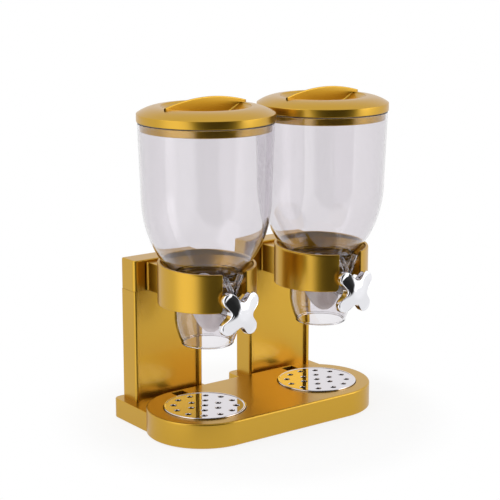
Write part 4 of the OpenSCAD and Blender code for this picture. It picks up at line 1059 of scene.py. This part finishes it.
# Round pale floor: white to the camera and in reflections, dimmed a little by the object's shadow, and
# fading into the backdrop towards its rim.
def buildFloor():
    s = studio
    turn = np.linspace(0, 2 * math.pi, s["floorSteps"], endpoint=False)
    rim = np.stack([np.cos(turn), np.sin(turn), 0 * turn], -1) * s["floorRadius"]
    mesh = bpy.data.meshes.new("studioFloor")
    mesh.from_pydata(rim.tolist(), [], [list(range(s["floorSteps"]))])
    floor = bpy.data.objects.new("studioFloor", mesh)
    bpy.context.scene.collection.objects.link(floor)
    material = bpy.data.materials.new("paleFloor")
    material.use_nodes = True
    tree = material.node_tree
    shader = tree.nodes["Principled BSDF"]
    setInputs(shader, {"Base Color": (s["floor"],) * 3 + (1,), "Roughness": s["floorRoughness"],
                       "Specular IOR Level": 0.0})
    glow = tree.nodes.new("ShaderNodeEmission")
    glow.inputs["Color"].default_value = (1, 1, 1, 1)
    seen = seenDirectly(tree)[1]
    coords = tree.nodes.new("ShaderNodeTexCoord")
    distance = tree.nodes.new("ShaderNodeVectorMath")
    distance.operation = "LENGTH"
    tree.links.new(coords.outputs["Object"], distance.inputs[0])
    fade = smoothStep(tree, distance.outputs["Value"], s["floorFade"], s["floorRadius"] * s["floorEnd"],
                      s["glow"], 1.0)
    mix = tree.nodes.new("ShaderNodeMixShader")
    tree.links.new(mathNode(tree, "MULTIPLY", seen, fade), mix.inputs[0])
    tree.links.new(shader.outputs["BSDF"], mix.inputs[1])
    tree.links.new(glow.outputs["Emission"], mix.inputs[2])
    tree.links.new(mix.outputs["Shader"], tree.nodes["Material Output"].inputs["Surface"])
    mesh.materials.append(material)


# Round patch of sky: 1 outside it and the given value inside, with a soft border between two angles.
def skyPatch(tree, coords, towards, inner, outer, inside):
    aim = tree.nodes.new("ShaderNodeVectorMath")
    aim.operation = "DOT_PRODUCT"
    tree.links.new(coords.outputs["Generated"], aim.inputs[0])
    aim.inputs[1].default_value = Vector(towards).normalized()
    low, high = math.cos(math.radians(outer)), math.cos(math.radians(inner))
    return smoothStep(tree, aim.outputs["Value"], low, high, 1.0, inside)


# White where the backdrop is seen and plain grey light else. Reflections see a room with a dark patch, the
# unlit end before the object that gives the metal its dark bands, and with soft boxes.
def buildWorld():
    s = studio
    world = bpy.data.worlds.new("softStudio")
    bpy.context.scene.world = world
    world.use_nodes = True
    tree = world.node_tree
    back = tree.nodes["Background"]
    back.inputs["Color"].default_value = (1, 1, 1, 1)
    coords = tree.nodes.new("ShaderNodeTexCoord")
    room = skyPatch(tree, coords, s["darkTowards"], s["darkInner"], s["darkOuter"], s["dark"])
    for towards, gain, inner, outer in s["softBoxes"]:
        room = mathNode(tree, "MULTIPLY", room, skyPatch(tree, coords, towards, inner, outer, 1 + gain))
    path, seen = seenDirectly(tree)
    reflected = tree.nodes.new("ShaderNodeMix")
    tree.links.new(mathNode(tree, "MINIMUM", path.outputs["Glossy Depth"], 1), reflected.inputs["Factor"])
    reflected.inputs["A"].default_value = 1.0
    tree.links.new(room, reflected.inputs["B"])
    strength = tree.nodes.new("ShaderNodeMix")
    tree.links.new(seen, strength.inputs["Factor"])
    strength.inputs["A"].default_value = s["sky"]
    tree.links.new(reflected.outputs["Result"], strength.inputs["B"])
    tree.links.new(strength.outputs["Result"], back.inputs["Strength"])


# Links a lamp or camera at a place, looking at a target, both in metres.
def aimObject(name, data, spot, target):
    obj = bpy.data.objects.new(name, data)
    bpy.context.scene.collection.objects.link(obj)
    obj.location = spot
    obj.rotation_euler = (target - spot).to_track_quat("-Z", "Y").to_euler()
    return obj


buildFloor()
buildWorld()
for name, spot, size, power in studio["panels"]:
    lamp = bpy.data.lights.new(name, "AREA")
    lamp.shape = "RECTANGLE"
    lamp.size, lamp.size_y = size
    lamp.energy = power
    aimObject(name, lamp, Vector(spot), Vector(studio["panelTarget"]))
lensData = bpy.data.cameras.new("photoCamera")
lensData.sensor_width = studio["sensor"]
lensData.lens = studio["lens"]
lensData.clip_start, lensData.clip_end = studio["clip"]
bpy.context.scene.camera = aimObject("photoCamera", lensData, Vector(studio["cameraPlace"]) * mm,
                                     Vector(studio["target"]) * mm)
bpy.context.scene.view_settings.view_transform = "Standard"
print("studio made")
